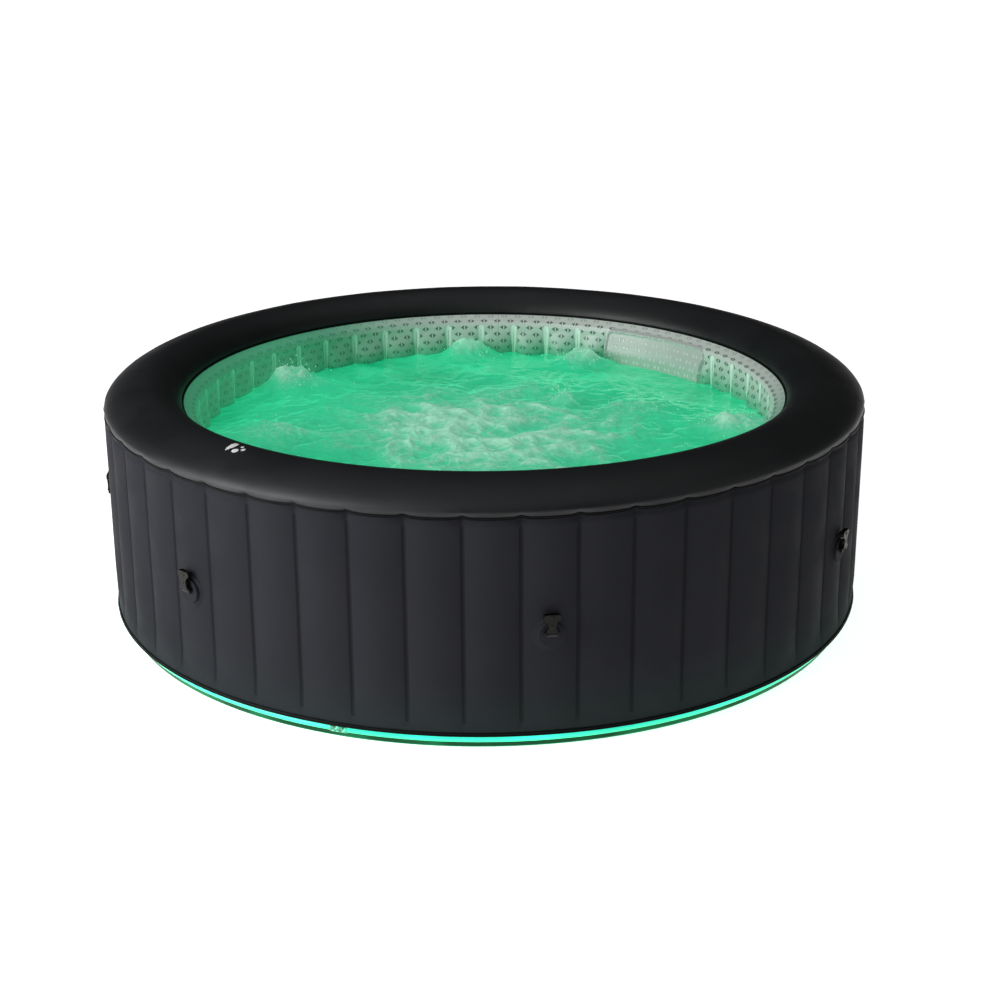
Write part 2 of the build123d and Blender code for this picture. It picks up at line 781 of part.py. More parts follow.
make_top_ring()
make_wall("outer_wall", WALL_BOTTOM_Z, WALL_TOP_Z, OUTER_VALLEY_R - SKIN, OUTER_CREST_R - SKIN, 0)
make_wall("inner_wall", SKIN, COLLAR_Z, INNER_VALLEY_R, INNER_CREST_R, PITCH / 2)
make_internal_webs()
make_seams()
make_base()
make_air_jets()
make_air_port()
make_light()
make_port_panel()
make_water_port(-PORT_X, "water_inlet_sleeve", FILTER_SPIGOT_LENGTH)
make_water_port(PORT_X, "water_outlet_sleeve", 4)
make_port_gaskets()
make_outlet_grille()
make_filter()
make_air_valve()
make_drain()
make_clip_tabs()
for number, clip_azimuth in enumerate(CLIP_AZIMUTHS, 1):
    make_clip_patch(clip_azimuth, f"clip_patch_{number}")
    make_clip(clip_azimuth, f"lid_clip_{number}")
    make_clip_lock(clip_azimuth, f"clip_lock_{number}")
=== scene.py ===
"""The looks of a round inflatable hot tub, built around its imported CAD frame.

Metres, +Z up. Azimuths are measured from the front, -Y, and are positive towards +X.
"""

import json
from math import cos, pi, radians, sin

import bmesh
import bpy
import numpy as np
from mathutils import Matrix, Vector

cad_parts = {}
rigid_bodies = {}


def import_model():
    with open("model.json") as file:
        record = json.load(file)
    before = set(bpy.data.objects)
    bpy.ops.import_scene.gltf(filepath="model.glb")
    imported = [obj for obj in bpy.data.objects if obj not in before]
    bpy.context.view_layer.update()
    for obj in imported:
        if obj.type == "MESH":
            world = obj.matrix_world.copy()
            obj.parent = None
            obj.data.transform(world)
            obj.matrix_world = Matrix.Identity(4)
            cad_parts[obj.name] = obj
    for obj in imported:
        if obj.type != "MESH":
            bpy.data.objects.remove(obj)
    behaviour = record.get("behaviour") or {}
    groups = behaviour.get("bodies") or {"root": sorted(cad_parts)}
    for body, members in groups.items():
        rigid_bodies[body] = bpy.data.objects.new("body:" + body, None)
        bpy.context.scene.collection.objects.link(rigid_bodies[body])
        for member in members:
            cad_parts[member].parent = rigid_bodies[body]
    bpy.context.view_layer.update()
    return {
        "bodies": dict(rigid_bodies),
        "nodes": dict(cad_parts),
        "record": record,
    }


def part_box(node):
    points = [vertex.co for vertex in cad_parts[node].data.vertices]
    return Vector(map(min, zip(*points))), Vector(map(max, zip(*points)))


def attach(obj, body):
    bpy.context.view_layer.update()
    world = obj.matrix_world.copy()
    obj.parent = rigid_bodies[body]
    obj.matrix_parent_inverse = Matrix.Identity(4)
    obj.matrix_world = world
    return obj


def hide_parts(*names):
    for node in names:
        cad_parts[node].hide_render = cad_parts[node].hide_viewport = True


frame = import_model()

MM = 0.001

# The wall's channels, with the CAD's radii
CHANNELS = 48
PITCH = 2 * pi / CHANNELS
OUTER_VALLEY_R = 1.013
OUTER_CREST_R = 1.028
INNER_VALLEY_R = 0.782
INNER_CREST_R = 0.764
HALF_CHANNEL = PITCH / 2 * OUTER_VALLEY_R

# The outer skin, whose channels are a little shallower than the CAD's, and its welds
CHANNEL_RISE = 10 * MM
WALL_LOW_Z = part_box("outer_wall")[0].z
WALL_HIGH_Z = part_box("outer_wall")[1].z
WALL_WELD_HALF = 5.2 * MM
WALL_WELD_LOW_Z = WALL_LOW_Z + 22 * MM
WALL_WELD_TOP_Z = WALL_HIGH_Z - 17 * MM
WALL_FOOT_R = OUTER_VALLEY_R + 11 * MM
WALL_FULL_Z = 0.13
WALL_TUCK = 3.5 * MM
WELD_END_FADE = 8 * MM
WELD_PINCH = 1.6 * MM
PINCH_TOP_Z = 0.571
PINCH_LOW_Z = 0.066
WALL_RIB_WAVE = 2500.0

# The rim
RIM_TOP_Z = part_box("top_ring")[1].z
RIM_OUTER_R = OUTER_CREST_R - 2 * MM
RIM_SEAM_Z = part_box("top_seam_piping")[1].z
RIM_INNER_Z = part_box("inner_rim_seam")[1].z
RIM_INNER_R = 0.821
RIM_CROWN_R = 0.905
RIM_POWER = 1.65
RIM_SHOULDER = 7 * MM
RIM_SMOOTHING = 60
HEM_REACH = 12 * MM
HEM_SCALLOP = 4.5 * MM
HEM_KINK = 2.6 * MM

# The liner, its welds, its print and the pad at the back
LINER_LOW_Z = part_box("inner_wall")[0].z
CREASE_R = 0.787
CREASE_Z = 0.567
WELD_TOP_Z = 0.559
WELD_HALF = 9.0 * MM
WELD_TIP = 4.0 * MM
WELD_NARROW_Z = 0.44
WELD_WIDE_Z = 0.55
PRINT_COLUMNS = 120
PRINT_COLUMN = 2 * pi * INNER_CREST_R / PRINT_COLUMNS
PRINT_ROW = 20.5 * MM
PRINT_ROW_Z = 0.490
PRINT_ROWS_BELOW = 40
PRINT_GAP = 1.9 * MM
PRINT_LENGTH = 9.4 * MM
PRINT_HALF_HEIGHT = 7.4 * MM
PRINT_EDGE = 0.3 * MM
PANEL_AZIMUTH = radians(177.8)
PANEL_HALF_WIDTH = radians(14.0) * INNER_CREST_R
PANEL_CORNER = 28 * MM
PANEL_ROWS_BELOW = 60
SHEET_EDGE_AZIMUTH = radians(217.3 - 360)

# The soft floor
FLOOR_CUSHION = 95 * MM
FLOOR_SINK = 2.5 * MM

# The water, and the churned patch near its middle
WATER_Z = 0.466
WATER_R = 0.784
BOIL_X = 0.04
BOIL_Y = -0.05
BOIL_REACH_X = 0.49
BOIL_REACH_Y = 0.45

# The emblem on the rim, and its bubbles' places and radii in millimetres before scaling
EMBLEM_AZIMUTH = radians(0.4)
EMBLEM_R = 0.925
EMBLEM_SCALE = 1.45
EMBLEM_LIFT = 1.8 * MM
EMBLEM_BUBBLES = ((9, -8, 6.0), (20, 0, 4.2), (11, 7, 3.0))

# The domed oval on each clip's waist: its place under the clip's top, and its half sizes
BOSS_DOWN = 29 * MM
BOSS_SINK = 0.6 * MM
BOSS_HALVES = (4.6 * MM, 2.6 * MM, 7.5 * MM)

# Soft boxes: azimuth in degrees, reach, height, size and watts
LAMPS = {
    "key_light": (-14, 4.4, 3.7, 4.2, 70),
    "low_light": (-22, 4.6, 1.6, 3.4, 195),
    "fill_light": (110, 4.6, 3.0, 3.0, 10),
}
SKY_STRENGTH = 0.4
WORLD_LIGHTING = 0.035
WORLD_SEEN = 0.95
FLOOR_GLOW = 0.88

# The camera's place, angles and lens in millimetres, from a fit to the photograph's outline
CAMERA_AZIMUTH = radians(40.5)
CAMERA_DISTANCE = 5.0107
CAMERA_HEIGHT = 2.0621
CAMERA_PAN = 0.0081
CAMERA_PITCH = 0.3459
CAMERA_ROLL = -0.0052
CAMERA_LENS = 68.38


# Small tools for meshes


def round_the_axis(azimuth, radius, height):
    """Points at the given azimuths, radii and heights, in an array whose last axis is x, y, z."""
    azimuth, radius, height = np.broadcast_arrays(azimuth, radius, height)
    return np.stack([radius * np.sin(azimuth), -radius * np.cos(azimuth), height], -1)


def ease(value, low, high):
    """0 below low, 1 above high and smooth between, and the other way round if low is above high."""
    t = np.clip((value - low) / (high - low), 0, 1)
    return t * t * (3 - 2 * t)


def add_object(name, data):
    """A new object in the scene that shows the given mesh, light or camera."""
    made = bpy.data.objects.new(name, data)
    bpy.context.scene.collection.objects.link(made)
    return made


def add_piece(name, mesh, material, body):
    """A smooth piece of the visual model that moves with a body."""
    mesh.shade_smooth()
    mesh.materials.append(material)
    piece = add_object(name, mesh)
    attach(piece, body)
    return piece


def piece_from(name, points, faces, material, replaces=()):
    """A piece on the tub, from points and faces. It takes the place of the CAD nodes in replaces."""
    mesh = bpy.data.meshes.new(name)
    mesh.from_pydata(np.asarray(points).reshape(-1, 3).tolist(), [], [list(f) for f in faces])
    piece = add_piece(name, mesh, material, "tub")
    if replaces:
        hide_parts(*replaces)
    return piece


def piece_from_shape(name, shape, material, body):
    """A piece from a bmesh, which is freed."""
    mesh = bpy.data.meshes.new(name)
    shape.to_mesh(mesh)
    shape.free()
    return add_piece(name, mesh, material, body)


def grid_faces(rows, columns, wrap_columns=True, wrap_rows=False, flip=False):
    """Quads over a grid of points that is stored row by row."""
    faces = []
    for i in range(rows if wrap_rows else rows - 1):
        below = i * columns
        above = (i + 1) % rows * columns
        for j in range(columns if wrap_columns else columns - 1):
            k = (j + 1) % columns
            quad = (below + j, below + k, above + k, above + j)
            faces.append(quad[::-1] if flip else quad)
    return faces


def solid_skin(piece, thickness):
    """Gives an open skin a thickness, away from the side that its faces look to."""
    solid = piece.modifiers.new("thickness", "SOLIDIFY")
    solid.thickness = thickness
    solid.offset = -1


def tube(name, path, radius, material, replaces=()):
    """A closed tube along a closed path of points."""
    sides = 10
    path = np.asarray(path, float)
    along = np.roll(path, -1, 0) - np.roll(path, 1, 0)
    along /= np.linalg.norm(along, axis=1)[:, None]
    out = path * (1, 1, 0)
    out -= (out * along).sum(1)[:, None] * along
    out /= np.linalg.norm(out, axis=1)[:, None]
    side = np.cross(along, out)
    turn = np.linspace(0, 2 * pi, sides, endpoint=False)
    radius = np.broadcast_to(radius, len(path))[:, None, None]
    circle = out[:, None] * np.cos(turn)[:, None] + side[:, None] * np.sin(turn)[:, None]
    points = path[:, None] + radius * circle
    faces = grid_faces(len(path), sides, wrap_rows=True, flip=True)
    return piece_from(name, points, faces, material, replaces)


def gradient_noise(x, y, seed):
    """Smooth noise between about -0.7 and 0.7, with one bump or dip to a unit."""
    cells = 64
    angle = np.random.RandomState(seed).uniform(0, 2 * pi, (cells, cells))
    column, row = np.floor(x).astype(int), np.floor(y).astype(int)
    dx, dy = x - column, y - row
    sx = dx**3 * (dx * (dx * 6 - 15) + 10)
    sy = dy**3 * (dy * (dy * 6 - 15) + 10)

    def corner(i, j):
        a = angle[(column + i) % cells, (row + j) % cells]
        return np.cos(a) * (dx - i) + np.sin(a) * (dy - j)

    low = corner(0, 0) * (1 - sx) + corner(1, 0) * sx
    high = corner(0, 1) * (1 - sx) + corner(1, 1) * sx
    return low * (1 - sy) + high * sy


def fractal(x, y, octaves, seed, ridged=False):
    """Layers of noise, each half the size of the one before. Ridged noise has sharp crests near 1."""
    total = 0
    weight = 1
    for k in range(octaves):
        layer = gradient_noise(x * 2**k + 7.3 * k, y * 2**k - 3.1 * k, seed + k)
        total = total + weight * ((1 - 2.6 * abs(layer)) if ridged else layer)
        weight *= 0.5
    return total / (2 - 2 * weight)


# Small tools for materials


class Finish:
    """A material and short ways to make its nodes. Places are in the object's own frame."""

    def __init__(self, name, color, roughness, specular=0.5):
        self.material = bpy.data.materials.new(name)
        self.material.use_nodes = True
        self.tree = self.material.node_tree
        self.shader = self.tree.nodes["Principled BSDF"]
        self.place = self.node("ShaderNodeTexCoord").outputs["Object"]
        self.set("Base Color", (*color, 1))
        self.set("Roughness", roughness)
        self.set("Specular IOR Level", specular)

    def feed(self, socket, value):
        if isinstance(value, bpy.types.NodeSocket):
            self.tree.links.new(value, socket)
        else:
            socket.default_value = value

    def set(self, name, value):
        self.feed(self.shader.inputs[name], value)

    def node(self, kind, inputs=(), **settings):
        made = self.tree.nodes.new(kind)
        for key, value in settings.items():
            setattr(made, key, value)
        for key, value in dict(inputs).items():
            self.feed(made.inputs[key], value)
        return made

    def math(self, operation, *values):
        return self.node("ShaderNodeMath", enumerate(values), operation=operation).outputs[0]

    def parts(self, vector=None):
        found = self.node("ShaderNodeSeparateXYZ", {0: vector or self.place}).outputs
        return found["X"], found["Y"], found["Z"]

    def ease(self, value, low, high, start=0.0, end=1.0):
        inputs = {"Value": value, "From Min": low, "From Max": high, "To Min": start, "To Max": end}
        return self.node("ShaderNodeMapRange", inputs, interpolation_type="SMOOTHSTEP").outputs[0]

    def mix(self, share, a, b):
        colors = [(*c, 1) if isinstance(c, tuple) and len(c) == 3 else c for c in (a, b)]
        inputs = {0: share, 6: colors[0], 7: colors[1]}
        return self.node("ShaderNodeMix", inputs, data_type="RGBA").outputs[2]

    def noise(self, scale, detail=2.0, distortion=0.0, vector=None):
        inputs = {"Vector": vector or self.place, "Scale": scale, "Detail": detail, "Distortion": distortion}
        return self.node("ShaderNodeTexNoise", inputs).outputs[0]

    def cells(self, scale, feature="F1", vector=None):
        inputs = {"Vector": vector or self.place, "Scale": scale}
        return self.node("ShaderNodeTexVoronoi", inputs, feature=feature).outputs["Distance"]

    def stretched(self, x, y, z):
        return self.node("ShaderNodeMapping", {"Vector": self.place, "Scale": (x, y, z)}).outputs[0]

    def bump(self, *layers):
        """Each layer is a height and its depth in metres. The last one is the finest."""
        normal = None
        for height, depth in layers:
            inputs = {"Height": height, "Distance": depth, "Strength": 1.0}
            if normal:
                inputs["Normal"] = normal
            normal = self.node("ShaderNodeBump", inputs).outputs[0]
        self.set("Normal", normal)

    def azimuth(self):
        x, y, _ = self.parts()
        return self.math("ARCTAN2", x, self.math("MULTIPLY", y, -1.0))

    def hypotenuse(self, x, y):
        squares = self.math("ADD", self.math("MULTIPLY", x, x), self.math("MULTIPLY", y, y))
        return self.math("SQRT", squares)

    def radius(self):
        x, y, _ = self.parts()
        return self.hypotenuse(x, y)

    def from_weld(self, phase, radius):
        """The distance along the wall from the nearest of the channels' welds, in metres."""
        shifted = self.math("SUBTRACT", self.azimuth(), phase)
        return self.math("MULTIPLY", self.math("PINGPONG", shifted, PITCH / 2), radius)


def vary(finish, dark, light, scale=2.5, share=0.5):
    """A colour that drifts slowly over the surface, as on a folded and unpacked sheet."""
    drift = finish.ease(finish.noise(scale, 3.0), 0.3, 0.7)
    return finish.mix(finish.math("MULTIPLY", drift, share), dark, light)


def wall_vinyl():
    """Matt charcoal vinyl, darker and ribbed on its welds, with a painted green glow of the light strip low
    down.
    """
    f = Finish("wall_vinyl", (0.016, 0.016, 0.018), 0.62, 0.035)
    _, _, z = f.parts()
    above = f.math("SUBTRACT", z, WALL_WELD_TOP_Z - WALL_WELD_HALF)
    below = f.math("SUBTRACT", WALL_WELD_LOW_Z + WALL_WELD_HALF, z)
    beyond = f.math("MAXIMUM", f.math("MAXIMUM", above, below), 0.0)
    aside = f.from_weld(0.0, OUTER_VALLEY_R)
    from_strip = f.hypotenuse(aside, beyond)
    weld = f.ease(from_strip, WALL_WELD_HALF + 0.5 * MM, WALL_WELD_HALF - 0.5 * MM)
    body = vary(f, (0.0190, 0.0196, 0.0236), (0.0245, 0.0250, 0.0296))
    f.set("Base Color", f.mix(weld, body, (0.0130, 0.0132, 0.0160)))
    # Painted glow: green emission from the light strip, stronger towards the bottom of the wall
    f.set("Emission Color", (0.0, 0.9, 0.4, 1))
    f.set("Emission Strength", f.ease(z, 0.20, 0.05, 0.0, 0.006))
    blotch = f.ease(f.noise(9.0, 4.0), 0.35, 0.65, 0.58, 0.70)
    f.set("Roughness", f.math("SUBTRACT", blotch, f.math("MULTIPLY", weld, 0.1)))
    creases = f.noise(26.0, 3.0)
    ribs = f.math("MULTIPLY", f.math("SINE", f.math("MULTIPLY", z, WALL_RIB_WAVE)), weld)
    grain = f.cells(620.0, "SMOOTH_F1")
    fine = f.noise(1500.0, 1.0)
    f.bump((creases, 0.5 * MM), (ribs, 0.06 * MM), (grain, 0.16 * MM), (fine, 0.05 * MM))
    return f.material


def rim_vinyl():
    """Nearly black satin vinyl with a fine grain."""
    f = Finish("rim_vinyl", (0.010, 0.011, 0.012), 0.46, 0.46)
    f.set("Base Color", vary(f, (0.0038, 0.0049, 0.0062), (0.0056, 0.0067, 0.0080), 1.7))
    f.set("Roughness", f.ease(f.noise(7.0, 4.0), 0.35, 0.65, 0.44, 0.54))
    grain = f.cells(760.0, "SMOOTH_F1")
    f.bump((f.noise(14.0, 2.0), 0.8 * MM), (grain, 0.10 * MM), (f.noise(1700.0, 1.0), 0.04 * MM))
    return f.material


def seam_vinyl(name, color=(0.0045, 0.0048, 0.0052), roughness=0.45):
    """Plain vinyl, up to 1.6 times lighter in places."""
    f = Finish(name, color, roughness, 0.08)
    lighter = tuple(1.6 * c for c in color)
    f.set("Base Color", vary(f, color, lighter, 8.0))
    f.set("Roughness", f.ease(f.noise(30.0, 3.0), 0.3, 0.7, roughness - 0.08, roughness + 0.1))
    f.bump((f.noise(90.0, 3.0), 0.4 * MM), (f.noise(1200.0, 1.0), 0.05 * MM))
    return f.material


def print_cell(f, height, lowest):
    """Where a place lies in its cell of the staggered print, across and up, each from -0.5 to 0.5."""
    row = f.math("DIVIDE", f.math("SUBTRACT", height, lowest), PRINT_ROW)
    stagger = f.math("MULTIPLY", f.math("MODULO", f.math("FLOOR", row), 2.0), 0.5)
    column = f.math("ADD", f.math("MULTIPLY", f.azimuth(), PRINT_COLUMNS / (2 * pi)), stagger)
    across = f.math("SUBTRACT", f.math("FRACT", column), 0.5)
    up = f.math("SUBTRACT", f.math("FRACT", row), 0.5)
    return across, up


def liner_print(f):
    """How much ink there is: pairs of triangles that point apart, and fine ties between them."""
    _, _, z = f.parts()
    slope = f.math("MAXIMUM", f.math("SUBTRACT", f.radius(), CREASE_R), 0.0)
    climb = f.math("ADD", z, f.math("MULTIPLY", slope, 0.56))
    across, up = print_cell(f, climb, PRINT_ROW_Z - PRINT_ROW / 2 - PRINT_ROWS_BELOW * PRINT_ROW)
    x = f.math("MULTIPLY", f.math("ABSOLUTE", across), PRINT_COLUMN)
    y = f.math("MULTIPLY", f.math("ABSOLUTE", up), PRINT_ROW)
    along = f.math("SUBTRACT", x, PRINT_GAP)
    narrowing = f.math("MULTIPLY", along, PRINT_HALF_HEIGHT / PRINT_LENGTH)
    room = f.math("SUBTRACT", PRINT_HALF_HEIGHT, narrowing)
    under_edge = f.ease(f.math("SUBTRACT", room, y), -PRINT_EDGE, PRINT_EDGE)
    inside = f.math("MULTIPLY", under_edge, f.ease(along, -PRINT_EDGE, PRINT_EDGE))
    slant = PRINT_ROW / (PRINT_COLUMN / 2)
    off_tie = f.math("ABSOLUTE", f.math("SUBTRACT", y, f.math("MULTIPLY", x, slant)))
    tie = f.ease(off_tie, 1.3 * MM, 0.7 * MM)
    faint = f.ease(climb, 0.586, 0.582, 0.35, 1.0)
    return f.math("MULTIPLY", inside, faint), f.math("MULTIPLY", tie, 0.7)


def liner_weld(f, z):
    """How much a place is on one of the liner's welds, which widen upwards and have round tops."""
    over = f.math("DIVIDE", f.math("SUBTRACT", z, WELD_TOP_Z - WELD_HALF), WELD_HALF)
    over = f.math("MAXIMUM", over, 0.0)
    left = f.math("SUBTRACT", 1.0, f.math("MULTIPLY", over, over))
    round_top = f.math("SQRT", f.math("MAXIMUM", left, 0.0))
    half_width = f.math("MULTIPLY", f.ease(z, WELD_NARROW_Z, WELD_WIDE_Z, WELD_TIP, WELD_HALF), round_top)
    beside = f.math("SUBTRACT", f.from_weld(PITCH / 2, INNER_VALLEY_R), half_width)
    return f.ease(beside, 0.4 * MM, -0.8 * MM)


def liner_vinyl():
    """Pale printed vinyl, with a painted green glow from the water: greener towards the water and on the
    side near the front.
    """
    f = Finish("liner_vinyl", (0.55, 0.60, 0.57), 0.34, 0.5)
    _, y, z = f.parts()
    ink, tie = liner_print(f)
    weld = liner_weld(f, z)
    off_edge = f.math("ABSOLUTE", f.math("SUBTRACT", f.azimuth(), SHEET_EDGE_AZIMUTH))
    edge = f.math("MULTIPLY", f.ease(off_edge, 1.6e-3, 0.8e-3), 0.5)
    # Painted glow: tie, ink, weld and body colours each have a green copy for the light the water throws,
    # used near the water and on the sides and front
    painted_glow = f.math("MAXIMUM", f.ease(z, 0.58, 0.45), f.ease(y, 0.66, 0.10, 0.0, 0.85))
    tie_color = f.mix(painted_glow, (0.55, 0.60, 0.57), (0.28, 0.55, 0.42))
    ink_color = f.mix(painted_glow, (0.010, 0.040, 0.026), (0.015, 0.20, 0.11))
    weld_color = f.mix(painted_glow, (0.80, 0.88, 0.84), (0.36, 0.68, 0.52))
    body = f.mix(painted_glow, vary(f, (0.52, 0.58, 0.54), (0.66, 0.72, 0.68)), (0.03, 0.33, 0.18))
    body = f.mix(f.math("MULTIPLY", tie, 0.55), body, tie_color)
    body = f.mix(edge, body, (0.10, 0.20, 0.15))
    plain = f.math("SUBTRACT", 1.0, weld)
    body = f.mix(f.math("MULTIPLY", ink, plain), body, ink_color)
    f.set("Base Color", f.mix(weld, body, weld_color))
    f.set("Roughness", f.math("SUBTRACT", 0.36, f.math("MULTIPLY", weld, 0.2)))
    f.set("Emission Color", f.mix(painted_glow, (0.50, 0.55, 0.52), (0.01, 0.62, 0.25)))
    # Painted glow: emission strength, higher near the water and towards the front
    shade = f.math("MAXIMUM", f.ease(z, 0.57, 0.45, 0.13, 0.12), f.ease(y, 0.50, -0.10, 0.0, 0.24))
    f.set("Emission Strength", shade)
    f.bump((f.noise(40.0, 3.0), 0.5 * MM), (ink, -0.05 * MM), (f.noise(1300.0, 1.0), 0.04 * MM))
    return f.material


def panel_vinyl():
    """White welded pad with pairs of pressed dots in staggered rows, greener and glowing low down with a
    painted glow from the water.
    """
    f = Finish("panel_vinyl", (0.72, 0.78, 0.75), 0.3, 0.5)
    _, _, z = f.parts()
    across, up = print_cell(f, z, PRINT_ROW_Z - PANEL_ROWS_BELOW * PRINT_ROW)
    x = f.math("SUBTRACT", f.math("ABSOLUTE", across), 0.17)
    x = f.math("MULTIPLY", x, 1.15 * PRINT_COLUMN)
    y = f.math("MULTIPLY", up, 0.8 * PRINT_ROW)
    dot = f.ease(f.hypotenuse(x, y), 5.0 * MM, 2.4 * MM)
    # Painted glow: greener and emitting towards the bottom, near the water
    painted_glow = f.ease(z, 0.56, 0.44)
    body = f.mix(painted_glow, vary(f, (0.46, 0.51, 0.48), (0.53, 0.58, 0.55), 6.0), (0.34, 0.52, 0.42))
    f.set("Base Color", f.mix(f.math("MULTIPLY", dot, 0.8), body, (0.70, 0.75, 0.72)))
    f.set("Roughness", f.math("SUBTRACT", 0.34, f.math("MULTIPLY", dot, 0.16)))
    f.set("Emission Color", (0.05, 0.55, 0.28, 1))
    f.set("Emission Strength", f.ease(z, 0.55, 0.45, 0.01, 0.06))
    f.bump((f.noise(30.0, 3.0), 0.6 * MM), (dot, 0.9 * MM))
    return f.material


def water_surface():
    """Green water with a painted glow, as if light came up through it. The mesh says how much foam lies
    where and where the painted light is brighter or darker, and noise breaks the foam into lace.
    """
    f = Finish("water", (0.02, 0.52, 0.22), 0.12, 0.5)
    foam = f.node("ShaderNodeAttribute", attribute_name="foam").outputs["Fac"]
    bright = f.node("ShaderNodeAttribute", attribute_name="bright").outputs["Fac"]
    churn = f.node("ShaderNodeAttribute", attribute_name="churn").outputs["Fac"]
    lace = f.noise(42.0, 7.0, 1.0)
    bubbles = f.cells(95.0, "SMOOTH_F1")
    broken = f.math("ADD", foam, f.math("MULTIPLY", f.math("SUBTRACT", lace, 0.5), 0.55))
    broken = f.math("SUBTRACT", broken, f.math("MULTIPLY", f.math("SUBTRACT", bubbles, 0.3), 0.22))
    cover = f.ease(broken, 0.25, 0.95)
    # Painted light and shade: the bright attribute mixes a darker and a lighter green
    green = f.mix(bright, (0.003, 0.17, 0.075), (0.010, 0.30, 0.14))
    # Painted glow: the water emits green, stronger where the painted light is brighter and where it is
    # churned
    glow = f.mix(bright, (0.004, 0.40, 0.165), (0.025, 0.66, 0.30))
    glow = f.mix(churn, glow, (0.090, 0.60, 0.34))
    froth = f.mix(f.ease(broken, 0.45, 1.05), (0.05, 0.37, 0.20), (0.31, 0.58, 0.42))
    f.set("Base Color", f.mix(cover, green, froth))
    f.set("Emission Color", f.mix(cover, glow, (0.21, 0.52, 0.365)))
    f.set("Emission Strength", 0.62)
    f.set("Roughness", f.ease(cover, 0.1, 0.8, 0.10, 0.55))
    f.bump((f.noise(60.0, 5.0, 0.6), 0.9 * MM), (f.noise(240.0, 3.0), 0.2 * MM))
    return f.material


def spray():
    """Green drops with a painted glow, some paler than others."""
    f = Finish("spray", (0.45, 0.80, 0.60), 0.12, 0.6)
    f.set("Base Color", f.mix(f.ease(f.noise(60.0), 0.3, 0.7), (0.22, 0.70, 0.42), (0.62, 0.88, 0.74)))
    # Painted glow of the water in the drops
    f.set("Emission Color", (0.06, 0.60, 0.28, 1))
    f.set("Emission Strength", 0.25)
    return f.material


def lit_tube():
    """The light strip in its clear tube: cyan above, green below, brighter at some lights."""
    f = Finish("lit_tube", (0.02, 0.5, 0.3), 0.2, 0.5)
    _, _, z = f.parts()
    low, high = (v.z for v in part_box("light_tube"))
    color = f.mix(f.ease(z, low, high), (0.02, 1.0, 0.28), (0.05, 1.0, 0.72))
    f.set("Emission Color", color)
    f.set("Emission Strength", f.ease(f.noise(5.0, 3.0), 0.3, 0.7, 0.75, 1.25))
    f.bump((f.noise(120.0), 0.3 * MM))
    return f.material


def lit_sleeve():
    """Dark glossy vinyl that carries the light: nearly black green, with a bright line at its lower edge."""
    f = Finish("lit_sleeve", (0.002, 0.035, 0.014), 0.22, 0.16)
    _, _, z = f.parts()
    line = f.ease(z, 3.2 * MM, 1.2 * MM)
    patch = f.ease(f.noise(6.0, 2.0), 0.42, 0.62)
    f.set("Base Color", f.mix(patch, (0.002, 0.030, 0.012), (0.004, 0.085, 0.035)))
    f.set("Emission Color", f.mix(line, (0.0, 0.10, 0.032), (0.0, 0.32, 0.11)))
    glow = f.math("MAXIMUM", line, f.math("MULTIPLY", patch, 0.5))
    f.set("Emission Strength", f.ease(glow, 0.0, 1.0, 0.35, 0.95))
    f.bump((f.noise(60.0, 3.0), 0.5 * MM))
    return f.material


def lit_joiner():
    """Clear plastic block full of the light that it joins."""
    f = Finish("lit_joiner", (0.03, 0.30, 0.16), 0.15, 0.5)
    glow = f.ease(f.noise(70.0, 3.0, 0.8), 0.35, 0.65)
    f.set("Base Color", f.mix(glow, (0.01, 0.12, 0.06), (0.20, 0.60, 0.42)))
    f.set("Emission Color", f.mix(glow, (0.0, 0.22, 0.10), (0.12, 0.95, 0.60)))
    f.set("Emission Strength", f.ease(glow, 0.0, 1.0, 0.35, 0.8))
    f.bump((f.noise(150.0), 0.3 * MM))
    return f.material


def moulded(name, dark, light, roughness, grain=0.05, specular=0.5):
    """Moulded plastic: a slow tone drift, faint flow marks and a fine spark-eroded grain."""
    f = Finish(name, dark, roughness, specular)
    f.set("Base Color", vary(f, dark, light, 60.0))
    f.set("Roughness", f.ease(f.noise(150.0, 3.0), 0.3, 0.7, roughness - 0.07, roughness + 0.07))
    f.bump((f.noise(300.0, 2.0), 0.5 * grain * MM), (f.noise(2600.0, 1.0), grain * MM))
    return f.material


def woven(name, dark, light):
    """Webbing: threads over and under each other."""
    thread_wave = 2700.0
    f = Finish(name, dark, 0.8, 0.25)
    _, _, z = f.parts()
    round_wall = f.math("MULTIPLY", f.azimuth(), OUTER_CREST_R)
    across = f.math("SINE", f.math("MULTIPLY", round_wall, thread_wave))
    up = f.math("SINE", f.math("MULTIPLY", z, thread_wave))
    weave = f.math("MULTIPLY", across, up)
    f.set("Base Color", f.mix(f.ease(weave, -1.0, 1.0), dark, light))
    f.bump((weave, 0.15 * MM))
    return f.material


def pleated():
    """Off-white filter paper."""
    f = Finish("filter_paper", (0.8, 0.8, 0.78), 0.85, 0.2)
    f.set("Base Color", vary(f, (0.66, 0.67, 0.63), (0.84, 0.85, 0.81), 30.0, 1.0))
    f.bump((f.noise(900.0, 2.0), 0.12 * MM))
    return f.material


def steel():
    """Drawn steel wire."""
    f = Finish("spring_steel", (0.55, 0.55, 0.56), 0.3)
    f.set("Metallic", 1.0)
    f.set("Base Color", f.mix(f.noise(500.0), (0.42, 0.42, 0.43), (0.62, 0.62, 0.63)))
    f.bump((f.noise(1800.0, 2.0, 0.0, f.stretched(1.0, 1.0, 0.1)), 0.03 * MM))
    return f.material


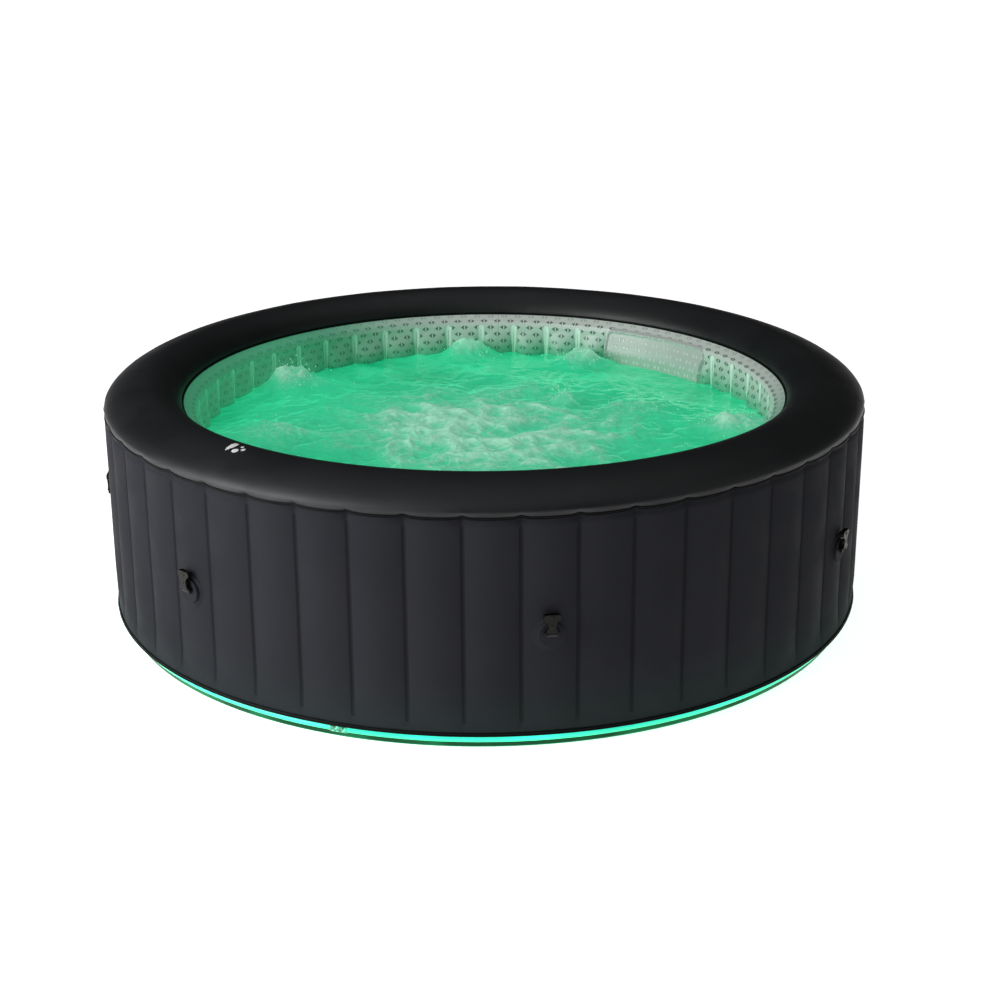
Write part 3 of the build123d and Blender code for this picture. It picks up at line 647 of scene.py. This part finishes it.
def floor_paint():
    """The studio's floor, bright enough to read as plain white."""
    f = Finish("pale_floor", (0.82, 0.82, 0.82), 0.9, 0.1)
    f.set("Base Color", f.mix(f.noise(0.8, 3.0), (0.80, 0.80, 0.80), (0.84, 0.84, 0.84)))
    f.set("Emission Color", (1, 1, 1, 1))
    f.set("Emission Strength", FLOOR_GLOW)
    return f.material


BLACK_PLASTIC = {"dark": (0.0035, 0.0034, 0.0026), "light": (0.0075, 0.0072, 0.0056)}
LOCK_PLASTIC = {"dark": (0.002, 0.002, 0.002), "light": (0.005, 0.005, 0.005)}

MATERIALS = {
    "rim_pvc": rim_vinyl(),
    "wall_pvc": wall_vinyl(),
    "liner_pvc": liner_vinyl(),
    "seam_pvc": seam_vinyl("seam_vinyl"),
    "base_pvc": seam_vinyl("base_vinyl", (0.012, 0.013, 0.014), 0.55),
    "web_pvc": seam_vinyl("web_vinyl", (0.35, 0.36, 0.35), 0.6),
    "floor_foam": seam_vinyl("floor_vinyl", (0.25, 0.30, 0.28), 0.55),
    "panel_pvc": panel_vinyl(),
    "white_plastic": moulded("white_plastic", (0.62, 0.63, 0.63), (0.72, 0.73, 0.72), 0.38),
    "filter_paper": pleated(),
    "rubber": moulded("rubber", (0.018, 0.018, 0.018), (0.03, 0.03, 0.03), 0.75, 0.1),
    "clear_pvc": lit_tube(),
    "sleeve_pvc": lit_sleeve(),
    "led": lit_tube(),
    "black_plastic": moulded("black_plastic", **BLACK_PLASTIC, roughness=0.30, specular=0.16),
    "lock_plastic": moulded("lock_plastic", **LOCK_PLASTIC, roughness=0.25, specular=0.28),
    "spring_steel": steel(),
    "webbing": woven("webbing", (0.022, 0.022, 0.024), (0.050, 0.050, 0.054)),
}
JOINER = lit_joiner()
WATER = water_surface()
SPRAY = spray()
INK = moulded("emblem_ink", (0.78, 0.78, 0.78), (0.86, 0.86, 0.86), 0.5)


# The frame's own nodes


EDGE_ROUNDS = {
    "black_plastic": 0.6 * MM,
    "lock_plastic": 0.2 * MM,
    "white_plastic": 0.8 * MM,
    "wall_pvc": 0.5 * MM,
    "panel_pvc": 1.5 * MM,
    "rubber": 0.4 * MM,
}


def round_edges(node, width):
    """Small rounds on a CAD node's sharp edges, once its faces are joined."""
    weld = node.modifiers.new("joined", "WELD")
    weld.merge_threshold = 0.01 * MM
    edge = node.modifiers.new("rounded", "BEVEL")
    edge.width = width
    edge.segments = 2
    edge.limit_method = "ANGLE"
    edge.angle_limit = radians(35)
    edge.use_clamp_overlap = True


def dress_frame():
    """Every CAD node gets its slot's material, and the moulded ones get their small edge rounds."""
    for row in frame["record"]["subparts"]:
        node = frame["nodes"][row["node"]]
        slot = row["material_slot"]
        node.data.materials.clear()
        node.data.materials.append(JOINER if row["node"] == "light_joiner" else MATERIALS[slot])
        if slot in EDGE_ROUNDS and not row["node"].endswith("_wall"):
            round_edges(node, EDGE_ROUNDS[slot])


# The skins


def channel_columns(near, far):
    """Azimuths of a channel's columns, from one weld to the next: close together near the welds."""
    half = np.array(near + list(np.linspace(near[-1], 0.5, far + 1)[1:]))
    whole = np.concatenate([half, 1 - half[-2:0:-1]])
    return (np.arange(CHANNELS)[:, None] + whole).ravel() * PITCH


def across_channel(azimuth, phase):
    """-1 to 1 across each channel, with 0 at its middle and both ends on its welds."""
    return 2 * (((azimuth - phase) / PITCH) % 1) - 1


def pillow(across, power=2.0):
    """1 at a channel's middle and 0 on its welds, round like a filled cushion."""
    return 1 - abs(across) ** power


def bell(distance, width):
    return np.exp(-((distance / width) ** 2))


def weld_groove(from_weld, z):
    """How deep the outer skin is pressed along a weld."""
    low_end = ease(z, WALL_WELD_LOW_Z, WALL_WELD_LOW_Z + WELD_END_FADE)
    top_end = ease(z, WALL_WELD_TOP_Z, WALL_WELD_TOP_Z - WELD_END_FADE)
    return 0.8 * MM * np.exp(-((from_weld / WALL_WELD_HALF) ** 4)) * low_end * top_end


def weld_pinch(from_weld, z):
    """How far a weld's two ends pull the outer skin in."""
    top = bell(z - PINCH_TOP_Z, 9 * MM)
    low = 0.8 * bell(z - PINCH_LOW_Z, 10 * MM)
    return WELD_PINCH * bell(from_weld, 13 * MM) * (top + low)


def hem_pucker(azimuth, z):
    """Fine gathers of the outer skin next to its two seams."""
    wave = np.sin(azimuth * 260 + 5 * np.sin(azimuth * 31))
    near_top = np.exp(-((WALL_HIGH_Z - z) / (14 * MM)).clip(0))
    near_low = np.exp(-((z - WALL_LOW_Z) / (14 * MM)).clip(0))
    return 0.45 * MM * wave * (near_top + near_low)


def make_outer_wall():
    """The charcoal skin: filled channels between welds, flatter at the foot and tucked in at the top."""
    azimuth = channel_columns([0, 0.02, 0.042, 0.058, 0.085, 0.12, 0.17], 5)[None]
    z = np.concatenate([
        np.linspace(WALL_LOW_Z, 0.11, 16),
        np.linspace(0.12, 0.50, 24),
        np.linspace(0.51, WALL_HIGH_Z + 3 * MM, 20),
    ])[:, None]
    across = across_channel(azimuth, 0)
    from_weld = (1 - abs(across)) * HALF_CHANNEL
    fullness = ease(z, WALL_LOW_Z - 5 * MM, WALL_FULL_Z)
    full_r = OUTER_CREST_R - CHANNEL_RISE * (1 - pillow(across))
    radius = WALL_FOOT_R * (1 - fullness) + full_r * fullness
    radius -= WALL_TUCK * ease(z, WALL_HIGH_Z - 18 * MM, WALL_HIGH_Z)
    radius -= weld_groove(from_weld, z)
    radius -= weld_pinch(from_weld, z)
    radius += hem_pucker(azimuth, z)
    radius += 1.3 * MM * fractal(azimuth * 6, z * 3, 3, 11)
    points = round_the_axis(azimuth, radius, z)
    faces = grid_faces(len(z), azimuth.size)
    skin = piece_from("wall_skin", points, faces, MATERIALS["wall_pvc"], ["outer_wall"])
    solid_skin(skin, 1.5 * MM)


def rim_outline(steps):
    """Radii, heights and ways walked over the rim's section, from its outer seam to its inner seam."""
    turn = np.linspace(0, pi / 2, 160)
    across, up = np.cos(turn) ** (2 / RIM_POWER), np.sin(turn) ** (2 / RIM_POWER)
    outer_z = RIM_SEAM_Z + RIM_SHOULDER
    outer_r = RIM_CROWN_R + (RIM_OUTER_R - RIM_CROWN_R) * across
    inner_r = RIM_CROWN_R - (RIM_CROWN_R - RIM_INNER_R) * across[::-1]
    rise = outer_z + (RIM_TOP_Z - outer_z) * up
    fall = RIM_INNER_Z + (RIM_TOP_Z - RIM_INNER_Z) * up[::-1]
    line = np.stack([np.concatenate([outer_r, inner_r]), np.concatenate([rise, fall])], 1)
    line = np.concatenate([[[RIM_OUTER_R - 2 * MM, RIM_SEAM_Z - 2 * MM]], line])
    for _ in range(RIM_SMOOTHING):
        line[1:-1] = (line[:-2] + 2 * line[1:-1] + line[2:]) / 4
    walked = np.concatenate([[0], np.cumsum(np.linalg.norm(np.diff(line, axis=0), axis=1))])
    even = np.linspace(0, walked[-1], steps)
    return np.interp(even, walked, line[:, 0]), np.interp(even, walked, line[:, 1]), even


def seam_radius(across):
    """How far out the seam under the rim lies, at a place across a channel."""
    return RIM_OUTER_R - HEM_SCALLOP * (1 - pillow(across, 2.6))


def seam_lift(across):
    """How much higher the seam runs over the welds than over the channels' middles."""
    return HEM_KINK * np.exp(-(((1 - abs(across)) / 0.16) ** 2)) - 0.5 * HEM_KINK * pillow(across)


def make_rim():
    """The dark domed skin, whose hem follows the seam over the channels."""
    azimuth = channel_columns([0, 0.03, 0.06, 0.10, 0.15], 4)[None]
    radius, height, walked = rim_outline(110)
    across = across_channel(azimuth, 0)
    hem = (1 - walked / HEM_REACH).clip(0)[:, None] ** 1.5
    from_weld = (1 - abs(across)) * PITCH / 2 * RIM_OUTER_R
    flare = (seam_radius(across) - 0.5 * MM - radius[0]) * hem
    tuck = 0.8 * MM * bell(from_weld, 7 * MM) * bell(walked - 5 * MM, 6 * MM)[:, None]
    inner = np.exp(-(walked[-1] - walked) / (16 * MM))[:, None]
    gather = 0.5 * MM * np.sin(azimuth * 170 + 4 * np.sin(azimuth * 23)) * inner
    swell = 1.2 * MM * fractal(azimuth * 5, walked[:, None] * 9, 2, 23) * (1 - inner)
    r = radius[:, None] + flare - tuck + swell
    z = height[:, None] + gather + 0.6 * swell + seam_lift(across) * hem
    points = round_the_axis(azimuth, r, z)
    faces = grid_faces(len(radius), azimuth.size)
    skin = piece_from("rim_skin", points, faces, MATERIALS["rim_pvc"], ["top_ring"])
    solid_skin(skin, 1.5 * MM)


def rim_point(azimuth, radius, lift):
    """A point on the rim's skin."""
    line_r, line_z, _ = rim_outline(200)
    order = np.argsort(line_r)
    z = np.interp(radius, line_r[order], line_z[order])
    return round_the_axis(azimuth, radius, z + lift)


def make_seams():
    """Two cords of welded hem under the rim, and two round the base, each pair a little uneven."""
    azimuth = channel_columns([0, 0.03, 0.07, 0.13], 4)
    across = across_channel(azimuth, 0)
    wander = fractal(azimuth * 9, 0.0, 3, 31)
    for name, out, z, size, stands_for in (
        ("rim_seam_lip", 0.3 * MM, RIM_SEAM_Z - 1.5 * MM, 2.0 * MM, ["top_seam_piping"]),
        ("rim_seam_hem", -0.4 * MM, RIM_SEAM_Z - 5.5 * MM, 1.7 * MM, []),
    ):
        seam_r = seam_radius(across) + out + 0.6 * MM * wander
        path = round_the_axis(azimuth, seam_r, z + 1.2 * MM * wander + seam_lift(across))
        tube(name, path, size, MATERIALS["seam_pvc"], stands_for)
    band_low, band_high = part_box("bottom_seam_band")
    band_r = band_high.x - 3.5 * MM
    wander = fractal(azimuth * 12, 3.0, 3, 37)
    for name, out, z, size, stands_for in (
        ("base_seam_lip", 0.0, band_high.z - 1.5 * MM, 2.8 * MM, ["bottom_seam_band"]),
        ("base_seam_hem", 1.0 * MM, band_low.z - 1.0 * MM, 2.4 * MM, []),
    ):
        path = round_the_axis(azimuth, band_r + out + 1.2 * MM * wander, z + 1.3 * MM * wander)
        tube(name, path, size, MATERIALS["seam_pvc"], stands_for)


def make_liner():
    """The pale inner skin: a sloping collar under the rim, then channels that fill out below a crease."""
    azimuth = channel_columns([0, 0.025, 0.05, 0.075, 0.095, 0.13, 0.18], 5)[None] + PITCH / 2
    band_r = np.linspace(RIM_INNER_R + 1 * MM, CREASE_R, 12)
    band_z = np.linspace(RIM_INNER_Z - 2 * MM, CREASE_Z, 12)
    wall_z = np.concatenate([np.linspace(CREASE_Z - 1.5 * MM, 0.50, 34), np.linspace(0.49, LINER_LOW_Z, 18)])
    line_r = np.concatenate([band_r, np.full(len(wall_z), CREASE_R)])[:, None]
    z = np.concatenate([band_z, wall_z])[:, None]
    side = abs(across_channel(azimuth, PITCH / 2))
    from_weld = (1 - side) * PITCH / 2 * INNER_VALLEY_R
    fullness = ease(z, CREASE_Z + 4 * MM, CREASE_Z - 90 * MM)
    bulge = (CREASE_R - INNER_CREST_R) * pillow(side, 2.4)
    valley = (CREASE_R - INNER_VALLEY_R) * ease(z, CREASE_Z, WELD_TOP_Z - 4 * MM)
    radius = line_r - np.maximum(bulge * fullness, valley)
    half_width = WELD_TIP + (WELD_HALF - WELD_TIP) * ease(z, WELD_NARROW_Z, WELD_WIDE_Z)
    groove = np.exp(-((from_weld / half_width) ** 4)) * ease(z, WELD_TOP_Z + 2 * MM, WELD_TOP_Z - 7 * MM)
    radius += 2.4 * MM * groove
    radius += 1.2 * MM * fractal(azimuth * 7, z * 8, 3, 41)
    points = round_the_axis(azimuth, radius, z)
    faces = grid_faces(len(z), azimuth.size)
    stands_for = ["inner_wall", "liner_collar"]
    skin = piece_from("liner_skin", points, faces, MATERIALS["liner_pvc"], stands_for)
    solid_skin(skin, 1.2 * MM)


def inside_rounded_box(x, y, half_x, half_y, corner):
    """How far inside a rounded rectangle's outline each point lies."""
    over_x, over_y = abs(x) - half_x + corner, abs(y) - half_y + corner
    beyond = np.hypot(over_x.clip(0), over_y.clip(0)) + np.minimum(np.maximum(over_x, over_y), 0)
    return corner - beyond


def edge_steps(count):
    """Steps from -1 to 1 that lie closer together near both ends."""
    even = np.linspace(-1, 1, count)
    return np.sign(even) * (1 - (1 - abs(even)) ** 1.35)


def make_panel():
    """The welded pad round the hose ports, with a raised bead near its edge."""
    rows, columns = 151, 201
    low_z, high_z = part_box("port_panel")[0].z, CREASE_Z + 5 * MM
    half_height = (high_z - low_z) / 2
    up = edge_steps(rows)[:, None] * half_height
    bend = (abs(up) - half_height + PANEL_CORNER).clip(0)
    reach = PANEL_HALF_WIDTH - PANEL_CORNER + np.sqrt((PANEL_CORNER**2 - bend**2).clip(0))
    along = edge_steps(columns)[None] * reach
    inside = inside_rounded_box(along, up, PANEL_HALF_WIDTH, half_height, PANEL_CORNER)
    bead = 3.2 * MM * bell(inside - 8 * MM, 3.2 * MM)
    proud = 7 * MM * ease(inside, 0, 5 * MM) + bead
    sag = 1.5 * MM * fractal(along * 9, up * 9, 2, 47)
    z = (low_z + high_z) / 2 + up
    wall = CREASE_R - (CREASE_R - INNER_CREST_R) * ease(z, CREASE_Z + 4 * MM, CREASE_Z - 75 * MM)
    points = round_the_axis(PANEL_AZIMUTH - along / INNER_CREST_R, wall + 3 * MM - proud - sag, z)
    faces = grid_faces(rows, columns, wrap_columns=False)
    panel = piece_from("panel_skin", points, faces, MATERIALS["panel_pvc"], ["port_panel"])
    solid_skin(panel, 1.2 * MM)


def make_floor():
    """The soft floor: a foam pad with a rolled edge, sunk along its welds between square cushions."""
    low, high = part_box("floor_pad")
    top = high.z - 0.2 * MM
    flat = np.linspace(0.5 * MM, high.x - 4 * MM, 150)
    # The rolled edge, from the top down to the underside
    edge_r = high.x - np.array([1.5, 0.3, 0.3, 2.5]) * MM
    edge_z = np.array([top - 1.5 * MM, top - 4 * MM, low.z + 3 * MM, low.z + 0.5 * MM])
    azimuth = np.linspace(0, 2 * pi, 480, endpoint=False)[None]
    x, y = flat[:, None] * np.sin(azimuth), flat[:, None] * np.cos(azimuth)
    crown = abs(np.sin(pi * x / FLOOR_CUSHION) * np.sin(pi * y / FLOOR_CUSHION)) ** 0.4
    top_z = top - FLOOR_SINK * (1 - crown)
    z = np.concatenate([top_z, np.broadcast_to(edge_z[:, None], (len(edge_z), azimuth.size))])
    radius = np.concatenate([flat, edge_r])[:, None]
    rows, columns = z.shape
    middle = tuple(range(columns))[::-1]
    underside = tuple(range((rows - 1) * columns, rows * columns))
    faces = grid_faces(rows, columns) + [middle, underside]
    points = round_the_axis(azimuth, radius, z)
    foam = MATERIALS["floor_foam"]
    floor = piece_from("floor_skin", points, faces, foam, ["floor_pad"])


# The water


# Where water from the jets heaps up: azimuth in degrees, reach from the axis, width, height and foam
MOUNDS = (
    (-87, 0.705, 0.075, 0.048, 1.3),
    (-136, 0.730, 0.062, 0.048, 1.3),
    (195, 0.700, 0.075, 0.034, 1.2),
    (128, 0.700, 0.100, 0.034, 1.2),
    (173, 0.312, 0.028, 0.036, 0.6),
    (62, 0.560, 0.110, 0.022, 0.5),
    (-40, 0.600, 0.120, 0.020, 0.6),
    (150, 0.470, 0.090, 0.016, 0.4),
)


def water_shape(x, y):
    """Height above still water, how foamy it is and how bright its painted light is, for a spa with its jets
    on.
    """
    warp_x = x + 0.07 * fractal(x * 3.5, y * 3.5, 3, 51)
    warp_y = y + 0.07 * fractal(x * 3.5, y * 3.5, 3, 61)
    ragged = 1 + 0.5 * fractal(x * 5, y * 5, 3, 65)
    from_boil = ((warp_x - BOIL_X) / BOIL_REACH_X) ** 2 + ((warp_y - BOIL_Y) / BOIL_REACH_Y) ** 2
    boil = np.exp(-(from_boil * ragged) ** 1.5)
    heaps, froth = 0, 0
    for azimuth, reach, width, rise, share in MOUNDS:
        cx, cy = reach * sin(radians(azimuth)), -reach * cos(radians(azimuth))
        heap = np.exp(-((warp_x - cx) ** 2 + (warp_y - cy) ** 2) / width**2)
        heaps = heaps + rise * heap
        froth = froth + share * heap
    churn = np.clip(boil + froth, 0, 1.1)
    swell = fractal(warp_x * 3.0, warp_y * 3.0, 3, 71)
    crest = np.clip(fractal(warp_x * 5.2, warp_y * 5.2, 3, 81, ridged=True), 0, 1)
    chop = fractal(warp_x * 20, warp_y * 20, 4, 91, ridged=True)
    lace = fractal(warp_x * 13, warp_y * 13, 5, 95, ridged=True)
    height = 0.013 * swell + 0.003 * chop + (0.024 * crest + 0.004 * lace) * (0.20 + churn)
    height = height + heaps * (0.60 + 0.4 * lace)
    foam = churn * (0.20 + 0.72 * crest + 0.26 * lace) + 0.35 * np.clip(lace - 0.5, 0, 1) * (0.2 + churn)
    # Painted light and shade: brighter on swells, chop and crests, with painted shade near the liner
    bright = 0.50 + 0.9 * swell + 0.35 * chop + 0.3 * crest - 0.3 * ease(np.hypot(x, y), 0.64, 0.77)
    return height, np.clip(foam, 0, 1), np.clip(bright, 0, 1), np.clip(churn, 0, 1)


def make_water():
    """The water's surface, which carries how foamy and churned it is and how bright its painted light is at
    each point.
    """
    rings, columns = 262, 980
    radius = np.linspace(0.5 * MM, WATER_R, rings)[:, None]
    azimuth = np.linspace(0, 2 * pi, columns, endpoint=False)[None]
    x, y = radius * np.sin(azimuth), -radius * np.cos(azimuth)
    height, foam, bright, churn = water_shape(x, y)
    points = round_the_axis(azimuth, radius, WATER_Z + height)
    faces = grid_faces(rings, columns) + [tuple(range(columns))[::-1]]
    surface = piece_from("water_surface", points, faces, WATER)
    for name, values in (("foam", foam), ("bright", bright), ("churn", churn)):
        layer = surface.data.attributes.new(name, "FLOAT", "POINT")
        layer.data.foreach_set("value", values.astype(np.float32).ravel())


def make_spray():
    """Drops thrown up over the mounds and the churned middle."""
    random = np.random.RandomState(7)
    shape = bmesh.new()
    for azimuth, reach, width, rise, share in MOUNDS:
        for _ in range(int(90 * share)):
            x = reach * sin(radians(azimuth)) + width * random.normal() * 0.7
            y = -reach * cos(radians(azimuth)) + width * random.normal() * 0.7
            flight = abs(random.normal()) * 0.4 * rise
            if (x * x + y * y) ** 0.5 > INNER_CREST_R - 25 * MM:
                continue
            height = water_shape(np.array([x]), np.array([y]))[0][0]
            size = random.uniform(0.6, 2.2) * MM
            stretch = Matrix.Diagonal((1, 1, random.uniform(0.9, 1.5), 1))
            place = Matrix.Translation((x, y, WATER_Z + height + flight + size)) @ stretch
            bmesh.ops.create_icosphere(shape, subdivisions=2, radius=size, matrix=place)
    piece_from_shape("spray_drops", shape, SPRAY, "tub")


# Small details


def make_emblem():
    """A generic printed mark on the rim: one drop and three bubbles."""
    rings = 5
    points, faces = [], []

    def fill(outline):
        centre = outline.mean(0)
        start = len(points)
        n = len(outline)
        for i in range(rings, 0, -1):
            points.extend(centre + (outline - centre) * i / rings)
        points.append(centre)
        faces.extend(tuple(start + v for v in quad) for quad in grid_faces(rings, n))
        last = start + (rings - 1) * n
        faces.extend((last + j, last + (j + 1) % n, start + rings * n) for j in range(n))

    turn = np.linspace(0, 2 * pi, 48, endpoint=False)
    width = 9 * MM * np.sin(turn) * np.sin(turn / 2) ** 1.2
    fill(np.stack([width - 8 * MM, -15 * MM * np.cos(turn)], 1))
    for x, y, size in EMBLEM_BUBBLES:
        fill(np.stack([x + size * np.cos(turn), y + size * np.sin(turn)], 1) * MM)
    flat = EMBLEM_SCALE * np.array(points)
    placed = rim_point(EMBLEM_AZIMUTH + flat[:, 0] / EMBLEM_R, EMBLEM_R - flat[:, 1], EMBLEM_LIFT)
    emblem = piece_from("rim_emblem", placed, faces, INK)
    solid_skin(emblem, 0.5 * MM)


def make_clip_bosses():
    """The domed oval on the waist of each clip."""
    for body in (b for b in frame["bodies"] if b.startswith("clip_")):
        number = body.split("_")[1]
        top_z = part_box(f"lid_clip_{number}")[1].z
        lock_low, lock_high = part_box(f"clip_lock_{number}")
        lock = (lock_low + lock_high) / 2
        out = Vector((lock.x, lock.y, 0)).normalized()
        side = Vector((-out.y, out.x, 0))
        centre = Vector((lock.x, lock.y, top_z - BOSS_DOWN)) - BOSS_SINK * out
        turn = Matrix((side, out, (0, 0, 1))).transposed().to_4x4()
        place = Matrix.Translation(centre) @ turn @ Matrix.Diagonal((*BOSS_HALVES, 1))
        shape = bmesh.new()
        bmesh.ops.create_uvsphere(shape, u_segments=28, v_segments=16, radius=1, matrix=place)
        piece_from_shape(f"clip_boss_{number}", shape, MATERIALS["black_plastic"], body)


# Studio


def aim(obj, target):
    obj.rotation_euler = (Vector(target) - obj.location).to_track_quat("-Z", "Y").to_euler()


def make_stage():
    """The plain pale floor."""
    bpy.ops.mesh.primitive_plane_add(size=80)
    floor = bpy.context.object
    floor.name = "floor"
    floor.data.materials.append(floor_paint())


def make_world():
    """A white background that lights the tub only a little."""
    world = bpy.data.worlds.new("studio")
    bpy.context.scene.world = world
    world.use_nodes = True
    background = world.node_tree.nodes["Background"]
    background.inputs["Color"].default_value = (1, 1, 1, 1)
    nodes, links = world.node_tree.nodes, world.node_tree.links
    seen = nodes.new("ShaderNodeMapRange")
    seen.inputs["To Min"].default_value = WORLD_LIGHTING
    seen.inputs["To Max"].default_value = WORLD_SEEN
    links.new(nodes.new("ShaderNodeLightPath").outputs["Is Camera Ray"], seen.inputs["Value"])
    links.new(seen.outputs[0], background.inputs["Strength"])


def make_lights():
    """A wide weak sky and three soft boxes that point at the tub."""
    sky = bpy.data.lights.new("sky_light", "SUN")
    sky.energy = SKY_STRENGTH
    sky.angle = radians(70)
    add_object("sky_light", sky)
    for name, (azimuth, reach, height, size, power) in LAMPS.items():
        lamp = bpy.data.lights.new(name, "AREA")
        lamp.size = size
        lamp.energy = power
        holder = add_object(name, lamp)
        holder.location = round_the_axis(radians(azimuth), reach, height)
        aim(holder, (0, 0, 0.3))


def make_camera():
    """The photograph's view."""
    camera = add_object("camera", bpy.data.cameras.new("camera"))
    camera.data.lens = CAMERA_LENS
    place = Matrix.Translation(Vector(round_the_axis(CAMERA_AZIMUTH, CAMERA_DISTANCE, CAMERA_HEIGHT)))
    turn = Matrix.Rotation(CAMERA_AZIMUTH - CAMERA_PAN, 4, "Z")
    tilt = Matrix.Rotation(pi / 2 - CAMERA_PITCH, 4, "X")
    camera.matrix_world = place @ turn @ tilt @ Matrix.Rotation(CAMERA_ROLL, 4, "Z")
    bpy.context.scene.camera = camera
    bpy.context.scene.view_settings.view_transform = "Standard"


dress_frame()
make_outer_wall()
make_rim()
make_seams()
make_liner()
make_panel()
make_floor()
make_water()
make_spray()
make_emblem()
make_clip_bosses()
make_stage()
make_world()
make_lights()
make_camera()
